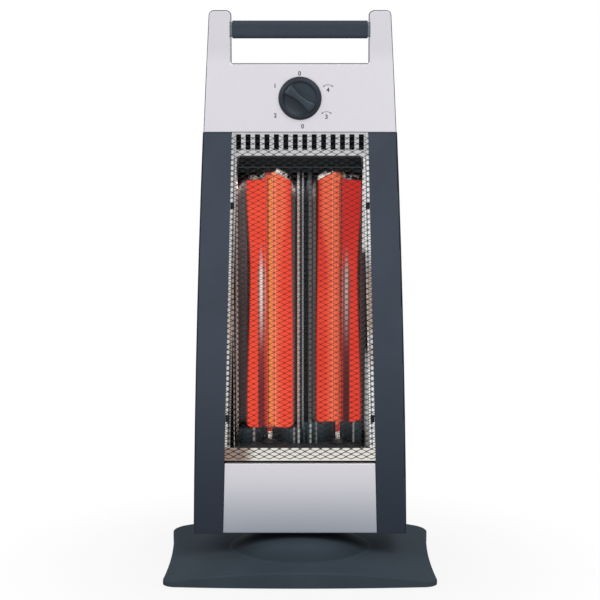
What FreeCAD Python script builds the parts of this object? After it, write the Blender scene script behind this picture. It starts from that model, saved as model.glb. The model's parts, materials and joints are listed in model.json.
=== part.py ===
import FreeCAD, Part
import math
import os
import Sketcher

# A swinging tower heater with two carbon tubes. Millimetres, Z up, the front faces -Y,
# and the origin lies on the floor under the swing axis.

Vector = FreeCAD.Vector
doc = FreeCAD.newDocument("CarbonHeater")
sheet = doc.addObject("Spreadsheet::Sheet", "Sizes")

# Driving sizes: name, value, what it is
SIZES = [
    ("foot_height", 2.0, "rubber pads under the base plate"),
    ("foot_radius", 8.0, "radius of one pad"),
    ("foot_inset_x", 41.0, "pads from the base corner, sideways"),
    ("foot_inset_y", 29.0, "pads from the base corner, front to back"),
    ("plate_thick", 2.0, "steel plate that closes the base"),
    ("base_corner_x", 149.0, "base corner before rounding, sideways"),
    ("base_corner_y", 105.0, "base corner before rounding, front to back"),
    ("base_bulge", 7.0, "how far the front and rear edges of the base bow out"),
    ("base_draw", 5.5, "how far the side edges of the base draw in"),
    ("base_round", 15.0, "rounding of the base corners in plan"),
    ("base_rim", 15.0, "solid rim around the hollow of the base"),
    ("crown_top", 22.6, "height of the base at the swing axis, without the dome"),
    ("crown_radius", 880.0, "radius of the arched base top"),
    ("rear_rise", 6.2, "rear edge of the base above its front edge"),
    ("base_wall", 2.5, "wall of the base cover"),
    ("edge_round", 2.2, "rounding of the base cover's top edge"),
    ("dome_radius", 152.0, "sphere radius of the dome under the tower"),
    ("dome_rise", 18.7, "where the dome would peak, above the base under it"),
    ("dome_flat_drop", 1.1, "flat on the dome below that peak"),
    ("dome_boss_radius", 18.0, "boss under the flat of the dome"),
    ("dome_boss_height", 4.2, "height of that boss"),
    ("bush_radius", 12.0, "outside of the pivot bush"),
    ("bush_flange_radius", 15.0, "flange of the pivot bush"),
    ("bush_flange_thick", 2.0, "thickness of that flange"),
    ("spigot_radius", 10.0, "spigot that turns in the bush"),
    ("spigot_neck_radius", 8.0, "thinner end of the spigot, through the tower floor"),
    ("spigot_bore_radius", 5.0, "cable way through the spigot"),
    ("lever_drop", 6.0, "lever below the shoulder of the spigot"),
    ("spigot_neck_length", 13.0, "how far the neck stands above the tower's underside"),
    ("shoulder_radius", 15.0, "shoulder that keeps the spigot from lifting out"),
    ("shoulder_thick", 3.2, "thickness of that shoulder"),
    ("lever_thick", 3.0, "slotted lever on the spigot"),
    ("lever_half_width", 7.6, "half width of the lever"),
    ("lever_tip", 3.14, "lever past the crank pin at rest"),
    ("slot_half_width", 3.4, "half width of the lever's slot"),
    ("slot_relief", 1.0, "slot starts this far inside the motor axis"),
    ("washer_thick", 1.4, "thrust washer under the tower"),
    ("washer_radius", 15.0, "outside of the thrust washer"),
    ("nut_flat", 24.0, "pivot nut across flats"),
    ("nut_height", 6.0, "height of the pivot nut"),
    ("nut_washer_radius", 15.0, "washer under the pivot nut"),
    ("nut_washer_thick", 1.6, "thickness of that washer"),
    ("motor_offset", 24.0, "motor axis behind the swing axis"),
    ("motor_radius", 24.5, "swing motor can"),
    ("motor_height", 14.5, "height of the can"),
    ("motor_ear_spread", 29.5, "motor screw from the motor axis"),
    ("motor_ear_radius", 5.0, "round end of a motor ear"),
    ("motor_ear_thick", 1.6, "thickness of a motor ear"),
    ("motor_shaft_radius", 3.0, "motor shaft"),
    ("motor_shaft_length", 5.2, "motor shaft above the can"),
    ("crank_throw", 13.86, "crank pin from the motor axis"),
    ("crank_radius", 17.8, "crank disc"),
    ("crank_thick", 3.6, "thickness of the crank disc"),
    ("crank_gap", 1.0, "crank disc above the motor"),
    ("pin_radius", 2.5, "crank pin"),
    ("pin_stop", 0.2, "crank pin ends below the lever's top"),
    ("plunger_x", 46.0, "tip plunger, sideways"),
    ("plunger_y", 44.0, "tip plunger, in front of the axis"),
    ("plunger_radius", 4.0, "tip plunger"),
    ("plunger_collar_radius", 6.0, "collar on the plunger"),
    ("plunger_collar_thick", 2.0, "thickness of that collar"),
    ("plunger_travel", 5.0, "how far the plunger drops when the heater is lifted"),
    ("tip_switch_length", 20.0, "tip switch body"),
    ("tip_switch_width", 7.0, "width of the tip switch"),
    ("tip_switch_height", 10.0, "height of the tip switch"),
    ("gland_half_width", 8.0, "cord gland in the rear of the base"),
    ("gland_height", 9.0, "height of the cord gland"),
    ("gland_depth", 11.0, "cord gland front to back"),
    ("gland_bore", 3.2, "radius of the cord hole"),
    ("gland_set_back", 2.0, "gland behind the rear edge"),
    ("tower_lift", 0.4, "running gap between thrust washer and tower"),
    ("tower_height", 569.0, "height of the tower"),
    ("tower_half_bottom", 117.0, "half width of the tower at the bottom"),
    ("tower_taper", 19.8, "each side draws in this far from bottom to top"),
    ("tower_bow", 3.0, "how far the sides bow out"),
    ("tower_front", 42.0, "front of the rails before the axis"),
    ("rail_depth", 18.0, "front mouldings, front to back"),
    ("back_bottom", 44.0, "rear of the tower at the bottom, behind the axis"),
    ("back_top", 15.0, "rear of the tower at the top, behind the axis"),
    ("back_round", 12.0, "rounding of the rear cover's long edges"),
    ("wall", 2.5, "wall of the plastic mouldings"),
    ("floor_thick", 2.0, "steel floor of the tower"),
    ("rail_face", 3.0, "front wall of the rails"),
    ("rail_round", 2.2, "rounding of the rails' outer edges"),
    ("window_taper", 12.0, "each rail leans in this far at the window"),
    ("rail_width", 32.0, "width of a rail at the bottom"),
    ("panel_height", 129.0, "control panel with its posts"),
    ("panel_proud", 2.0, "control panel in front of the rails"),
    ("panel_inset", 1.6, "control panel inside the tower's outline"),
    ("panel_top_inset", 0.8, "control panel below the top of the rear cover"),
    ("post_width", 22.7, "width of a handle post with the rear cover's edge"),
    ("hand_gap", 27.4, "room for fingers under the handle"),
    ("post_round", 5.0, "rounding of the post tops"),
    ("panel_lip", 1.5, "rounding of the control panel's lower front edge"),
    ("lower_panel_round", 0.8, "rounding of the lower panel's front edge"),
    ("hole_round", 3.5, "rounding of the hand hole's corners"),
    ("lower_panel_height", 78.7, "lower panel above the tower's underside"),
    ("lower_panel_proud", 0.4, "lower panel in front of the rails"),
    ("seam", 0.5, "open seam between mouldings"),
    ("fit_gap", 0.3, "clearance between pieces"),
    ("run_gap", 0.06, "running clearance of pivots"),
    ("handle_height", 18.9, "height of the handle bar"),
    ("handle_drop", 10.9, "top of the handle bar below the tower's top"),
    ("handle_depth", 17.0, "handle bar front to back"),
    ("handle_round", 4.5, "rounding of the handle bar"),
    ("collar_length", 2.6, "silver collar at each end of the handle"),
    ("collar_inset", 1.6, "collar smaller than the bar all round"),
    ("rod_radius", 3.0, "steel rod through the handle"),
    ("knob_rise", 36.2, "knob's axis above the control panel's lower edge"),
    ("knob_radius", 23.0, "knob skirt"),
    ("knob_skirt", 5.0, "thickness of the knob skirt"),
    ("knob_rim", 4.4, "rim around the dished face of the knob"),
    ("knob_dish", 1.6, "depth of the dish"),
    ("grip_end", 0.6, "grip ridge short of the rim"),
    ("grip_half_width", 4.6, "half width of the grip ridge"),
    ("grip_height", 11.0, "grip ridge in front of the dish"),
    ("grip_angle", 142.0, "direction of the pointer in degrees from +X"),
    ("shaft_radius", 3.0, "switch shaft"),
    ("shaft_in_knob", 10.0, "switch shaft inside the knob"),
    ("switch_radius", 17.0, "rotary switch body"),
    ("switch_depth", 20.0, "depth of the rotary switch"),
    ("shaft_in_switch", 9.0, "switch shaft inside the switch"),
    ("mesh_thick", 0.8, "sheet of the mesh guard"),
    ("mesh_overlap", 7.0, "mesh guard behind the rails"),
    ("mesh_pitch_x", 24.0, "width of one mesh diamond"),
    ("mesh_pitch_z", 15.4, "height of one mesh diamond"),
    ("mesh_strand", 2.2, "strand between the diamonds"),
    ("clip_width", 4.0, "retaining clip of the mesh, sideways"),
    ("clip_height", 7.0, "height of a clip"),
    ("clip_upper_drop", 28.5, "upper clips below the top of the troughs"),
    ("clip_lower_rise", 20.0, "lower clips above the foot of the troughs"),
    ("sheet", 0.6, "bright sheet metal"),
    ("hem", 4.0, "turned-out front edge of the reflector"),
    ("sill_gap", 2.2, "dark gap between lower panel and window"),
    ("flange_width", 6.0, "bright strip beside the reflector opening"),
    ("sill_height", 16.3, "bright strip below the reflector opening"),
    ("vent_sill", 7.6, "bright strip between vent slots and reflector opening"),
    ("vent_height", 17.0, "height of a vent slot"),
    ("vent_margin", 1.9, "vent slots below the top of the rails"),
    ("vent_side", 4.65, "window edge to the first vent slot"),
    ("vent_width", 5.4, "width of a vent slot"),
    ("end_zone_low", 13.0, "dark zone below the reflector troughs"),
    ("end_zone_high", 23.5, "dark zone above the reflector troughs"),
    ("trough_rim", 18.0, "trough rims before the axis"),
    ("trough_side", 1.2, "flat beside the right-hand trough"),
    ("trough_deep", 12.4, "depth of a trough"),
    ("trough_gap", 26.0, "flat between the two troughs"),
    ("trough_shift", 4.2, "the pair sits this far to the right of the window"),
    ("tube_radius", 5.5, "quartz tube"),
    ("tube_bore", 4.5, "bore of the quartz tube"),
    ("tube_front", 19.0, "tube axis before the swing axis"),
    ("tube_end", 5.0, "tube inside each end cap"),
    ("strip_half_width", 2.4, "half width of the carbon strip"),
    ("strip_thick", 1.2, "thickness of the carbon strip"),
    ("lead_radius", 1.0, "lead at each end of the strip"),
    ("cap_radius", 7.5, "ceramic end cap"),
    ("cap_length", 14.0, "length of an end cap"),
    ("cap_overlap", 2.0, "cap over the end of the glowing length"),
    ("bracket_thick", 1.0, "black tube brackets"),
    ("shield_side", 5.2, "heat shield beyond the reflector's side walls"),
    ("shield_back", 1.5, "rear of the heat shield behind the axis"),
    ("louvre_width", 52.0, "louvre slots of the rear cover"),
    ("louvre_height", 3.6, "height of a louvre slot"),
    ("louvre_pitch", 11.0, "pitch of the louvre slots"),
    ("louvre_middle", 34.0, "middle of a louvre row"),
    ("louvre_rise", 256.0, "lowest louvre slot above the tower's underside"),
    ("louvre_count", 14.0, "louvre slots in one row"),
    ("screw_radius", 1.5, "screw thread"),
    ("screw_head", 3.2, "screw head"),
    ("screw_head_thick", 1.5, "thickness of a screw head"),
    ("screw_length", 7.0, "screw thread length"),
    ("screw_boss", 4.2, "boss around a screw"),
    ("casing_screw_side", 5.5, "rail screws outside the window's lower corner"),
    ("casing_screw_rise", 26.0, "lower rail screws above the tower's underside"),
    ("casing_screw_drop", 22.0, "upper rail screws below the control panel"),
    ("panel_screw_side", 9.5, "control panel screws outside the posts' inner face"),
    ("panel_screw_rise", 46.0, "control panel screws above its lower edge"),
    ("screw_ledge", 3.0, "ledge under a casing screw head"),
    ("floor_screw_side", 19.0, "floor screws inside the tower's side"),
    ("floor_screw_y", 18.0, "floor screws behind the axis"),
    ("floor_block", 6.0, "half width of the floor screw blocks"),
    ("floor_block_height", 12.0, "height of those blocks"),
    ("base_screw_inset_x", 57.0, "base screws from the base corner, sideways"),
    ("base_screw_inset_y", 47.0, "base screws from the base corner, front to back"),
    ("cutout_radius", 8.0, "thermal cut-out disc"),
    ("cutout_thick", 9.0, "depth of the cut-out"),
    ("terminal_width", 46.0, "terminal block"),
    ("terminal_depth", 14.0, "terminal block front to back"),
    ("terminal_height", 15.0, "height of the terminal block"),
]


class Size:
    """A number that keeps the sheet formula it comes from."""

    def __init__(self, value, formula):
        self.value = float(value)
        self.formula = formula

    def joined(self, sign, other, value):
        return Size(value, "(" + self.formula + " " + sign + " " + other.formula + ")")

    def __add__(self, other):
        other = as_size(other)
        return self.joined("+", other, self.value + other.value)

    def __radd__(self, other):
        return as_size(other) + self

    def __sub__(self, other):
        other = as_size(other)
        return self.joined("-", other, self.value - other.value)

    def __rsub__(self, other):
        return as_size(other) - self

    def __mul__(self, other):
        other = as_size(other)
        return self.joined("*", other, self.value * other.value)

    def __rmul__(self, other):
        return as_size(other) * self

    def __truediv__(self, other):
        other = as_size(other)
        return self.joined("/", other, self.value / other.value)

    def __neg__(self):
        return as_size(0) - self


def as_size(number):
    """A plain number as a Size."""
    if isinstance(number, Size):
        return number
    return Size(number, "(%.6f)" % number)


def root(number):
    """Square root of a Size."""
    return Size(math.sqrt(number.value), "sqrt(" + number.formula + ")")


def slope(rise, run):
    """Angle of a rise over a run, in degrees."""
    share = rise / run
    return Size(math.degrees(math.atan(share.value)), "atan(" + share.formula + ")")


class Sheet:
    """The named sizes as attributes."""


VENT_SLOTS = 14
d = Sheet()
for row, (name, value, note) in enumerate(SIZES, start=1):
    sheet.set("A%d" % row, note)
    sheet.set("B%d" % row, "%g" % value)
    sheet.setAlias("B%d" % row, name)
    setattr(d, name, Size(value, "Sizes." + name))


def follow(name, amount, note):
    """Adds a size that follows from the driving ones to the sheet."""
    row = len(vars(d)) + 1
    sheet.set("A%d" % row, note)
    sheet.set("B%d" % row, "=" + amount.formula.replace("Sizes.", ""))
    sheet.setAlias("B%d" % row, name)
    setattr(d, name, Size(amount.value, "Sizes." + name))


# Base and swing drive
follow("base_front", d.base_corner_y + d.base_bulge, "base edge at the middle of front and rear")
follow("base_waist", d.base_corner_x - d.base_draw, "base edge at the middle of the sides")
follow("base_lean", slope(d.rear_rise, 2 * d.base_front), "fall of the base's top to the front, in degrees")
follow("foot_spread_x", d.base_corner_x - d.foot_inset_x, "pads from the middle, sideways")
follow("foot_spread_y", d.base_corner_y - d.foot_inset_y, "pads from the middle, front to back")
follow("base_screw_x", d.base_corner_x - d.base_screw_inset_x, "base screws from the middle, sideways")
follow("base_screw_y", d.base_corner_y - d.base_screw_inset_y, "base screws from the middle, front to back")
follow("dome_peak", d.crown_top + d.dome_rise, "height where the dome would peak")
follow("dome_flat", d.dome_peak - d.dome_flat_drop, "height of the flat on the dome")
follow("plate_top", d.foot_height + d.plate_thick, "upper face of the base plate")
follow("boss_bottom", d.dome_flat - d.dome_boss_height, "underside of the dome's boss")
follow("shoulder_bottom", d.boss_bottom - d.fit_gap - d.shoulder_thick, "underside of the spigot's shoulder")
follow("spigot_foot", d.shoulder_bottom - d.lever_drop, "lower end of the spigot and the lever")
follow("crank_bottom", d.plate_top + d.motor_height + d.crank_gap, "underside of the crank disc")
follow("pin_length", d.spigot_foot + d.lever_thick - d.pin_stop - d.crank_bottom - d.crank_thick, "crank pin")
follow("lever_reach", d.motor_offset + d.crank_throw + d.lever_tip, "lever tip from the swing axis")
follow("slot_start", d.motor_offset - d.slot_relief, "inner end of the slot from the swing axis")

# Tower shell
bush_top = d.dome_flat + d.bush_flange_thick
follow("tower_bottom", bush_top + d.washer_thick + d.tower_lift, "underside of the tower")
follow("tower_top", d.tower_bottom + d.tower_height, "top of the tower")
follow("tower_half_top", d.tower_half_bottom - d.tower_taper, "half width of the tower at the top")
follow("tower_split", d.tower_front - d.rail_depth, "joint of front pieces and rear cover, before the axis")
follow("window_half_bottom", d.tower_half_bottom - d.rail_width, "half width between the rails at the bottom")
follow("window_half_top", d.window_half_bottom - d.window_taper, "half width of the window at the top")
follow("panel_bottom", d.tower_top - d.panel_height, "lower edge of the control panel")
follow("rail_top", d.panel_bottom - d.seam, "top of the rails")
follow("lower_panel_top", d.tower_bottom + d.lower_panel_height, "upper edge of the lower panel")
follow("post_inner", d.tower_half_top - d.post_width, "inner face of the handle posts")
follow("handle_top", d.tower_top - d.handle_drop, "top of the handle bar")
follow("handle_bottom", d.handle_top - d.handle_height, "underside of the handle bar")
follow("hand_hole_bottom", d.handle_bottom - d.hand_gap, "lower edge of the hand hole")
follow("casing_screw_x", d.window_half_bottom + d.casing_screw_side, "rail screws from the middle")
follow("casing_screw_low", d.tower_bottom + d.casing_screw_rise, "lower rail screws")
follow("casing_screw_high", d.panel_bottom - d.casing_screw_drop, "upper rail screws")
follow("panel_screw_x", d.post_inner + d.panel_screw_side, "control panel screws from the middle")
follow("panel_screw_z", d.panel_bottom + d.panel_screw_rise, "height of the control panel screws")
follow("floor_screw_x", d.tower_half_bottom - d.floor_screw_side, "floor screws from the middle")
follow("louvre_first", d.tower_bottom + d.louvre_rise, "height of the lowest louvre slot")

# Knob, window and troughs
follow("knob_z", d.panel_bottom + d.knob_rise, "height of the knob's axis")
follow("knob_dish_radius", d.knob_radius - d.knob_rim, "dished face of the knob")
follow("grip_half_length", d.knob_dish_radius - d.grip_end, "half length of the grip ridge")
follow("vent_top", d.rail_top - d.vent_margin, "upper end of the vent slots")
follow("vent_bottom", d.vent_top - d.vent_height, "lower end of the vent slots")
vent_row = 2 * (d.window_half_top - d.vent_side) - d.vent_width
follow("vent_pitch", vent_row / (VENT_SLOTS - 1), "pitch of the slots")
follow("opening_half", d.window_half_top - d.flange_width, "half width between the reflector's side walls")
follow("opening_bottom", d.lower_panel_top + d.sill_height, "lower edge of the reflector opening")
follow("opening_top", d.vent_bottom - d.vent_sill, "upper edge of the reflector opening")
follow("glow_bottom", d.opening_bottom + d.end_zone_low, "lower end of the reflector troughs")
follow("glow_top", d.opening_top - d.end_zone_high, "upper end of the reflector troughs")
follow("trough_half", (d.opening_half - d.trough_side - d.trough_shift - d.trough_gap / 2) / 2,
       "half width of one trough")
follow("trough_middle", d.trough_gap / 2 + d.trough_half, "trough centre from the middle of the pair")
follow("clip_upper_z", d.glow_top - d.clip_upper_drop, "upper clips")
follow("clip_lower_z", d.glow_bottom + d.clip_lower_rise, "lower clips")
follow("shield_half", d.opening_half + d.shield_side, "half width of the heat shield")
doc.recompute()

SIDES = (("left", -1), ("right", 1))
parts = []


# Helpers that bind sizes to the sheet
def bind(item, prop, amount):
    item.setExpression(prop, as_size(amount).formula)


def keep(item, label):
    """Marks a finished sub-part under its own name."""
    item.Label = label
    parts.append(item)
    return item


def place(item, x, y, z):
    item.Placement.Base = Vector(as_size(x).value, as_size(y).value, as_size(z).value)
    bind(item, "Placement.Base.x", x)
    bind(item, "Placement.Base.y", y)
    bind(item, "Placement.Base.z", z)
    return item


def box(name, low_x, high_x, low_y, high_y, low_z, high_z):
    item = doc.addObject("Part::Box", name)
    bind(item, "Length", as_size(high_x) - low_x)
    bind(item, "Width", as_size(high_y) - low_y)
    bind(item, "Height", as_size(high_z) - low_z)
    return place(item, low_x, low_y, low_z)


def rod(name, radius, length, x, y, z, turn=None):
    """Cylinder along Z, or along the direction that the turn gives."""
    item = doc.addObject("Part::Cylinder", name)
    bind(item, "Radius", radius)
    bind(item, "Height", length)
    if turn:
        item.Placement.Rotation = turn
    return place(item, x, y, z)


ALONG_X = FreeCAD.Rotation(Vector(0, 1, 0), 90)
ALONG_Y = FreeCAD.Rotation(Vector(1, 0, 0), -90)
TO_FRONT = FreeCAD.Rotation(Vector(1, 0, 0), 90)


def fuse(name, items):
    item = doc.addObject("Part::MultiFuse", name)
    item.Shapes = items
    return item


def cut(name, base, tool):
    item = doc.addObject("Part::Cut", name)
    item.Base = base
    item.Tool = tool
    return item


def group(name, items):
    item = doc.addObject("Part::Compound", name)
    item.Links = items
    return item


def common(name, first, second):
    item = doc.addObject("Part::Common", name)
    item.Base = first
    item.Tool = second
    return item


class Via(tuple):
    """A point that an arc passes through on its way to the next corner."""


def via(x, y):
    return Via((as_size(x), as_size(y)))


def pin_point(sketch, index, end, x, y):
    """Holds a sketch point at two driven coordinates."""
    for kind, amount, axis in (("DistanceX", as_size(x), -2), ("DistanceY", as_size(y), -1)):
        if amount.formula == as_size(0).formula:
            sketch.addConstraint(Sketcher.Constraint("PointOnObject", index, end, axis))
        else:
            number = sketch.addConstraint(Sketcher.Constraint(kind, -1, 1, index, end, amount.value))
            sketch.setExpression("Constraints[%d]" % number, amount.formula)


def flat(point):
    return Vector(as_size(point[0]).value, as_size(point[1]).value, 0)


def add_loop(sketch, points):
    """Closed outline of lines and arcs through its corners."""
    corners = [p for p in points if not isinstance(p, Via)]
    first = None
    last = None
    count = len(corners)
    corner_number = 0
    place_in_list = 0
    while corner_number < count:
        start = corners[corner_number]
        end = corners[(corner_number + 1) % count]
        middle = points[(place_in_list + 1) % len(points)]
        if isinstance(middle, Via):
            a, b, c = flat(start), flat(middle), flat(end)
            index = sketch.addGeometry(Part.Arc(a, b, c), False)
            turning = (c - a).cross(b - a).z
            head, tail = (1, 2) if turning < 0 else (2, 1)
            mark = sketch.addGeometry(Part.Point(b), True)
            pin_point(sketch, mark, 1, middle[0], middle[1])
            sketch.addConstraint(Sketcher.Constraint("PointOnObject", mark, 1, index))
            place_in_list += 2
        else:
            index = sketch.addGeometry(Part.LineSegment(flat(start), flat(end)), False)
            head, tail = 1, 2
            place_in_list += 1
        pin_point(sketch, index, head, start[0], start[1])
        if last is not None:
            sketch.addConstraint(Sketcher.Constraint("Coincident", last[0], last[1], index, head))
        else:
            first = (index, head)
        last = (index, tail)
        corner_number += 1
    sketch.addConstraint(Sketcher.Constraint("Coincident", last[0], last[1], first[0], first[1]))


def add_circle(sketch, x, y, radius):
    radius = as_size(radius)
    index = sketch.addGeometry(Part.Circle(flat((x, y)), Vector(0, 0, 1), radius.value), False)
    pin_point(sketch, index, 3, x, y)
    number = sketch.addConstraint(Sketcher.Constraint("Radius", index, radius.value))
    sketch.setExpression("Constraints[%d]" % number, radius.formula)


def new_body(name):
    return doc.addObject("PartDesign::Body", name)


def sketch_on(body, role, offset, loops=(), circles=()):
    """Sketch on one of the body's own planes, moved along the plane's normal."""
    sketch = body.newObject("Sketcher::SketchObject", body.Name + "_sketch")
    plane = [f for f in body.Origin.OriginFeatures if f.Role == role][0]
    sketch.AttachmentSupport = [(plane, "")]
    sketch.MapMode = "FlatFace"
    bind(sketch, "AttachmentOffset.Base.z", offset)
    for loop in loops:
        add_loop(sketch, loop)
    for x, y, radius in circles:
        add_circle(sketch, x, y, radius)
    return sketch


def pad(body, role, offset, length, loops=(), circles=(), backward=False):
    """Adds material from the plane along its normal; the XZ plane's normal points to the front."""
    sketch = sketch_on(body, role, offset, loops, circles)
    feature = body.newObject("PartDesign::Pad", body.Name + "_pad")
    feature.Profile = sketch
    bind(feature, "Length", length)
    feature.Reversed = backward
    return feature


def pocket(body, role, offset, length, loops=(), circles=(), backward=False):
    """Cuts from the plane against its normal; on the XZ plane that is towards the rear."""
    sketch = sketch_on(body, role, offset, loops, circles)
    feature = body.newObject("PartDesign::Pocket", body.Name + "_pocket")
    feature.Profile = sketch
    bind(feature, "Length", length)
    feature.Reversed = backward
    return feature


def cut_across(body, role, loops, lean=None):
    """Cuts through everything on both sides of the plane, which may lean about its own X axis."""
    sketch = sketch_on(body, role, 0, loops)
    if lean is not None:
        turn = FreeCAD.Rotation(Vector(1, 0, 0), lean.value)
        sketch.AttachmentOffset = FreeCAD.Placement(Vector(0, 0, 0), turn)
        bind(sketch, "AttachmentOffset.Rotation.Angle", lean)
    feature = body.newObject("PartDesign::Pocket", body.Name + "_across")
    feature.Profile = sketch
    feature.Type = "ThroughAll"
    feature.Midplane = True
    return feature


def turned(name, loops):
    """Body turned about the vertical axis from a half section."""
    body = new_body(name)
    sketch = sketch_on(body, "XZ_Plane", 0, loops)
    feature = body.newObject("PartDesign::Revolution", name + "_turn")
    feature.Profile = sketch
    feature.ReferenceAxis = (sketch, ["V_Axis"])
    feature.Angle = 360
    return body


def rounded(body, wanted, radius):
    """Rounds those edges of the body that pass the test."""
    doc.recompute()
    base = body.Tip
    names = ["Edge%d" % (n + 1) for n, edge in enumerate(base.Shape.Edges) if wanted(edge)]
    feature = body.newObject("PartDesign::Fillet", body.Name + "_round")
    feature.Base = (base, names)
    bind(feature, "Radius", radius)
    return feature


def rectangle(low_x, low_y, high_x, high_y):
    return [(low_x, low_y), (high_x, low_y), (high_x, high_y), (low_x, high_y)]


def runs_along(edge, axis):
    """True for a straight edge along one axis."""
    ends = [v.Point for v in edge.Vertexes]
    if len(ends) != 2 or edge.Curve.TypeId != "Part::GeomLine":
        return False
    along = (ends[1] - ends[0]).normalize()
    return abs(abs(along.dot(axis)) - 1) < 1e-4


# Heights and faces that several pieces share
plate_top = d.plate_top
dome_centre = d.dome_peak - d.dome_radius
boss_bottom = d.boss_bottom
floor_top = d.tower_bottom + d.floor_thick
panel_front = d.tower_front + d.panel_proud
mesh_front = d.tower_front - d.rail_face - d.fit_gap
frame_front = mesh_front - d.mesh_thick - d.fit_gap
reflector_front = frame_front - d.sheet - d.fit_gap
rail_top = d.rail_top
window_bottom = d.lower_panel_top + d.sill_gap


def side(z, inset=0):
    """Half width of the tower at a height, less an inset."""
    share = (as_size(z) - d.tower_bottom) / (d.tower_top - d.tower_bottom)
    straight = d.tower_half_bottom + (d.tower_half_top - d.tower_half_bottom) * share
    return straight + 4 * d.tower_bow * share * (1 - share) - inset


def window_edge(z):
    """Inner edge of the rails at a height."""
    share = (as_size(z) - d.tower_bottom) / (d.panel_bottom - d.tower_bottom)
    return d.window_half_bottom + (d.window_half_top - d.window_half_bottom) * share


def back_at(z):
    """Rear face of the tower behind the axis at a height."""
    share = (as_size(z) - d.tower_bottom) / (d.tower_top - d.tower_bottom)
    return d.back_bottom + (d.back_top - d.back_bottom) * share


# Base
def base_form(name, inset, drop, foot):
    """Pincushion outline with an arched top that falls to the front; the inset and drop make the hollow."""
    body = new_body(name)
    corner_x = d.base_corner_x - inset
    corner_y = d.base_corner_y - inset
    edge_y = d.base_front - inset
    edge_x = d.base_waist - inset
    outline = [
        (-corner_x, -corner_y), via(0, -edge_y), (corner_x, -corner_y), via(edge_x, 0),
        (corner_x, corner_y), via(0, edge_y), (-corner_x, corner_y), via(-edge_x, 0),
    ]
    pad(body, "XY_Plane", foot, d.crown_top + d.rear_rise, [outline])
    rounded(body, lambda e: runs_along(e, Vector(0, 0, 1)), d.base_round)
    far = d.base_corner_x + 10
    top = d.crown_top - drop
    far_z = top - d.crown_radius + root(d.crown_radius * d.crown_radius - far * far)
    above = [(-far, far_z), via(0, top), (far, far_z), (far, d.dome_peak + d.crown_top),
             (-far, d.dome_peak + d.crown_top)]
    cut_across(body, "XZ_Plane", [above], d.base_lean)
    return body


def crown_at(x, y):
    """Height of the arched base top at a place beside the dome."""
    arch = d.crown_radius - root(d.crown_radius * d.crown_radius - x * x)
    return d.crown_top - arch + y * d.rear_rise / (2 * d.base_front)


def dome_form(name, radius, foot, top):
    """Half section of the dome, turned about the swing axis."""
    foot_r = root(radius * radius - (as_size(foot) - dome_centre) * (as_size(foot) - dome_centre))
    top_r = root(radius * radius - (as_size(top) - dome_centre) * (as_size(top) - dome_centre))
    mid_z = (as_size(foot) + top) / 2
    mid_r = root(radius * radius - (mid_z - dome_centre) * (mid_z - dome_centre))
    return turned(name, [[(0, foot), (foot_r, foot), via(mid_r, mid_z), (top_r, top), (0, top)]])


def top_edge(edge):
    """Edges around the base's arched top."""
    low = d.foot_height.value + 1.2
    return edge.BoundBox.ZMin > low and not runs_along(edge, Vector(0, 0, 1))


def make_base_cover():
    form = base_form("BaseForm", as_size(0), as_size(0), d.foot_height)
    rounded(form, top_edge, d.edge_round)
    dome = dome_form("DomeForm", d.dome_radius, d.crown_top - d.edge_round - 3, d.dome_flat)
    outer = fuse("BaseOuter", [form, dome])
    hollow = base_form("BaseHollow", d.base_rim, d.base_wall, as_size(0))
    inner_radius = d.dome_radius - d.base_wall
    dome_hollow = dome_form("DomeHollow", inner_radius, plate_top, boss_bottom)
    hollows = fuse("BaseHollows", [hollow, dome_hollow])
    shell = cut("BaseShell", outer, hollows)
    bosses = []
    for x in (-1, 1):
        for y in (-1, 1):
            roof = crown_at(d.base_screw_x, y * d.base_screw_y) - d.base_wall / 2
            bosses.append(rod("BaseBoss", d.screw_boss, roof - plate_top,
                              x * d.base_screw_x, y * d.base_screw_y, plate_top))
    solid = fuse("BaseSolid", [shell] + bosses)
    holes = [rod("BushHole", d.bush_radius + d.run_gap, d.dome_boss_height + 10, 0, 0, boss_bottom - 5)]
    for x in (-1, 1):
        for y in (-1, 1):
            holes.append(rod("BossHole", d.screw_radius + d.run_gap, d.screw_length + d.fit_gap,
                             x * d.base_screw_x, y * d.base_screw_y, d.foot_height))
    wide = d.gland_half_width + d.fit_gap
    holes.append(box("GlandNotch", -wide, wide, d.base_front - d.gland_set_back - d.gland_depth - d.base_rim,
                     d.base_front + 5, -1, d.foot_height + d.gland_height + d.fit_gap))
    return keep(cut("BaseCover", solid, group("BaseHoles", holes)), "base_cover")


def make_base_plate():
    form = base_form("PlateForm", d.base_rim + d.fit_gap, d.base_wall + d.fit_gap, d.foot_height)
    far_x = d.base_corner_x
    far_y = d.base_front
    slab = box("PlateSlab", -far_x, far_x, -far_y, far_y, d.foot_height, plate_top)
    tools = [rod("PlungerHole", d.plunger_radius + d.fit_gap, 20, d.plunger_x, -d.plunger_y, 0)]
    for x in (-1, 1):
        for y in (-1, 1):
            tools.append(rod("PlateHole", d.screw_radius + d.fit_gap, 20,
                             x * d.base_screw_x, y * d.base_screw_y, 0))
        tools.append(rod("EarHole", d.screw_radius + d.run_gap, 20,
                         x * d.motor_ear_spread, d.motor_offset, 0))
    return keep(cut("BasePlate", common("PlateBlank", form, slab), group("PlateHoles", tools)), "base_plate")


def make_feet():
    pads = [
        rod("FootPad", d.foot_radius, d.foot_height, x * d.foot_spread_x, y * d.foot_spread_y, 0)
        for x in (-1, 1) for y in (-1, 1)
    ]
    keep(group("FootPads", pads), "foot_pads")


def screw(name, x, y, z, turn=None):
    """Pan head screw; the thread runs along Z, or along the turned direction, from the seat of its head."""
    body = new_body(name)
    pad(body, "XY_Plane", 0, d.screw_length, circles=[(0, 0, d.screw_radius)])
    pad(body, "XY_Plane", 0, d.screw_head_thick, circles=[(0, 0, d.screw_head)], backward=True)
    if turn:
        body.Placement.Rotation = turn
    return place(body, x, y, z)


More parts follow.
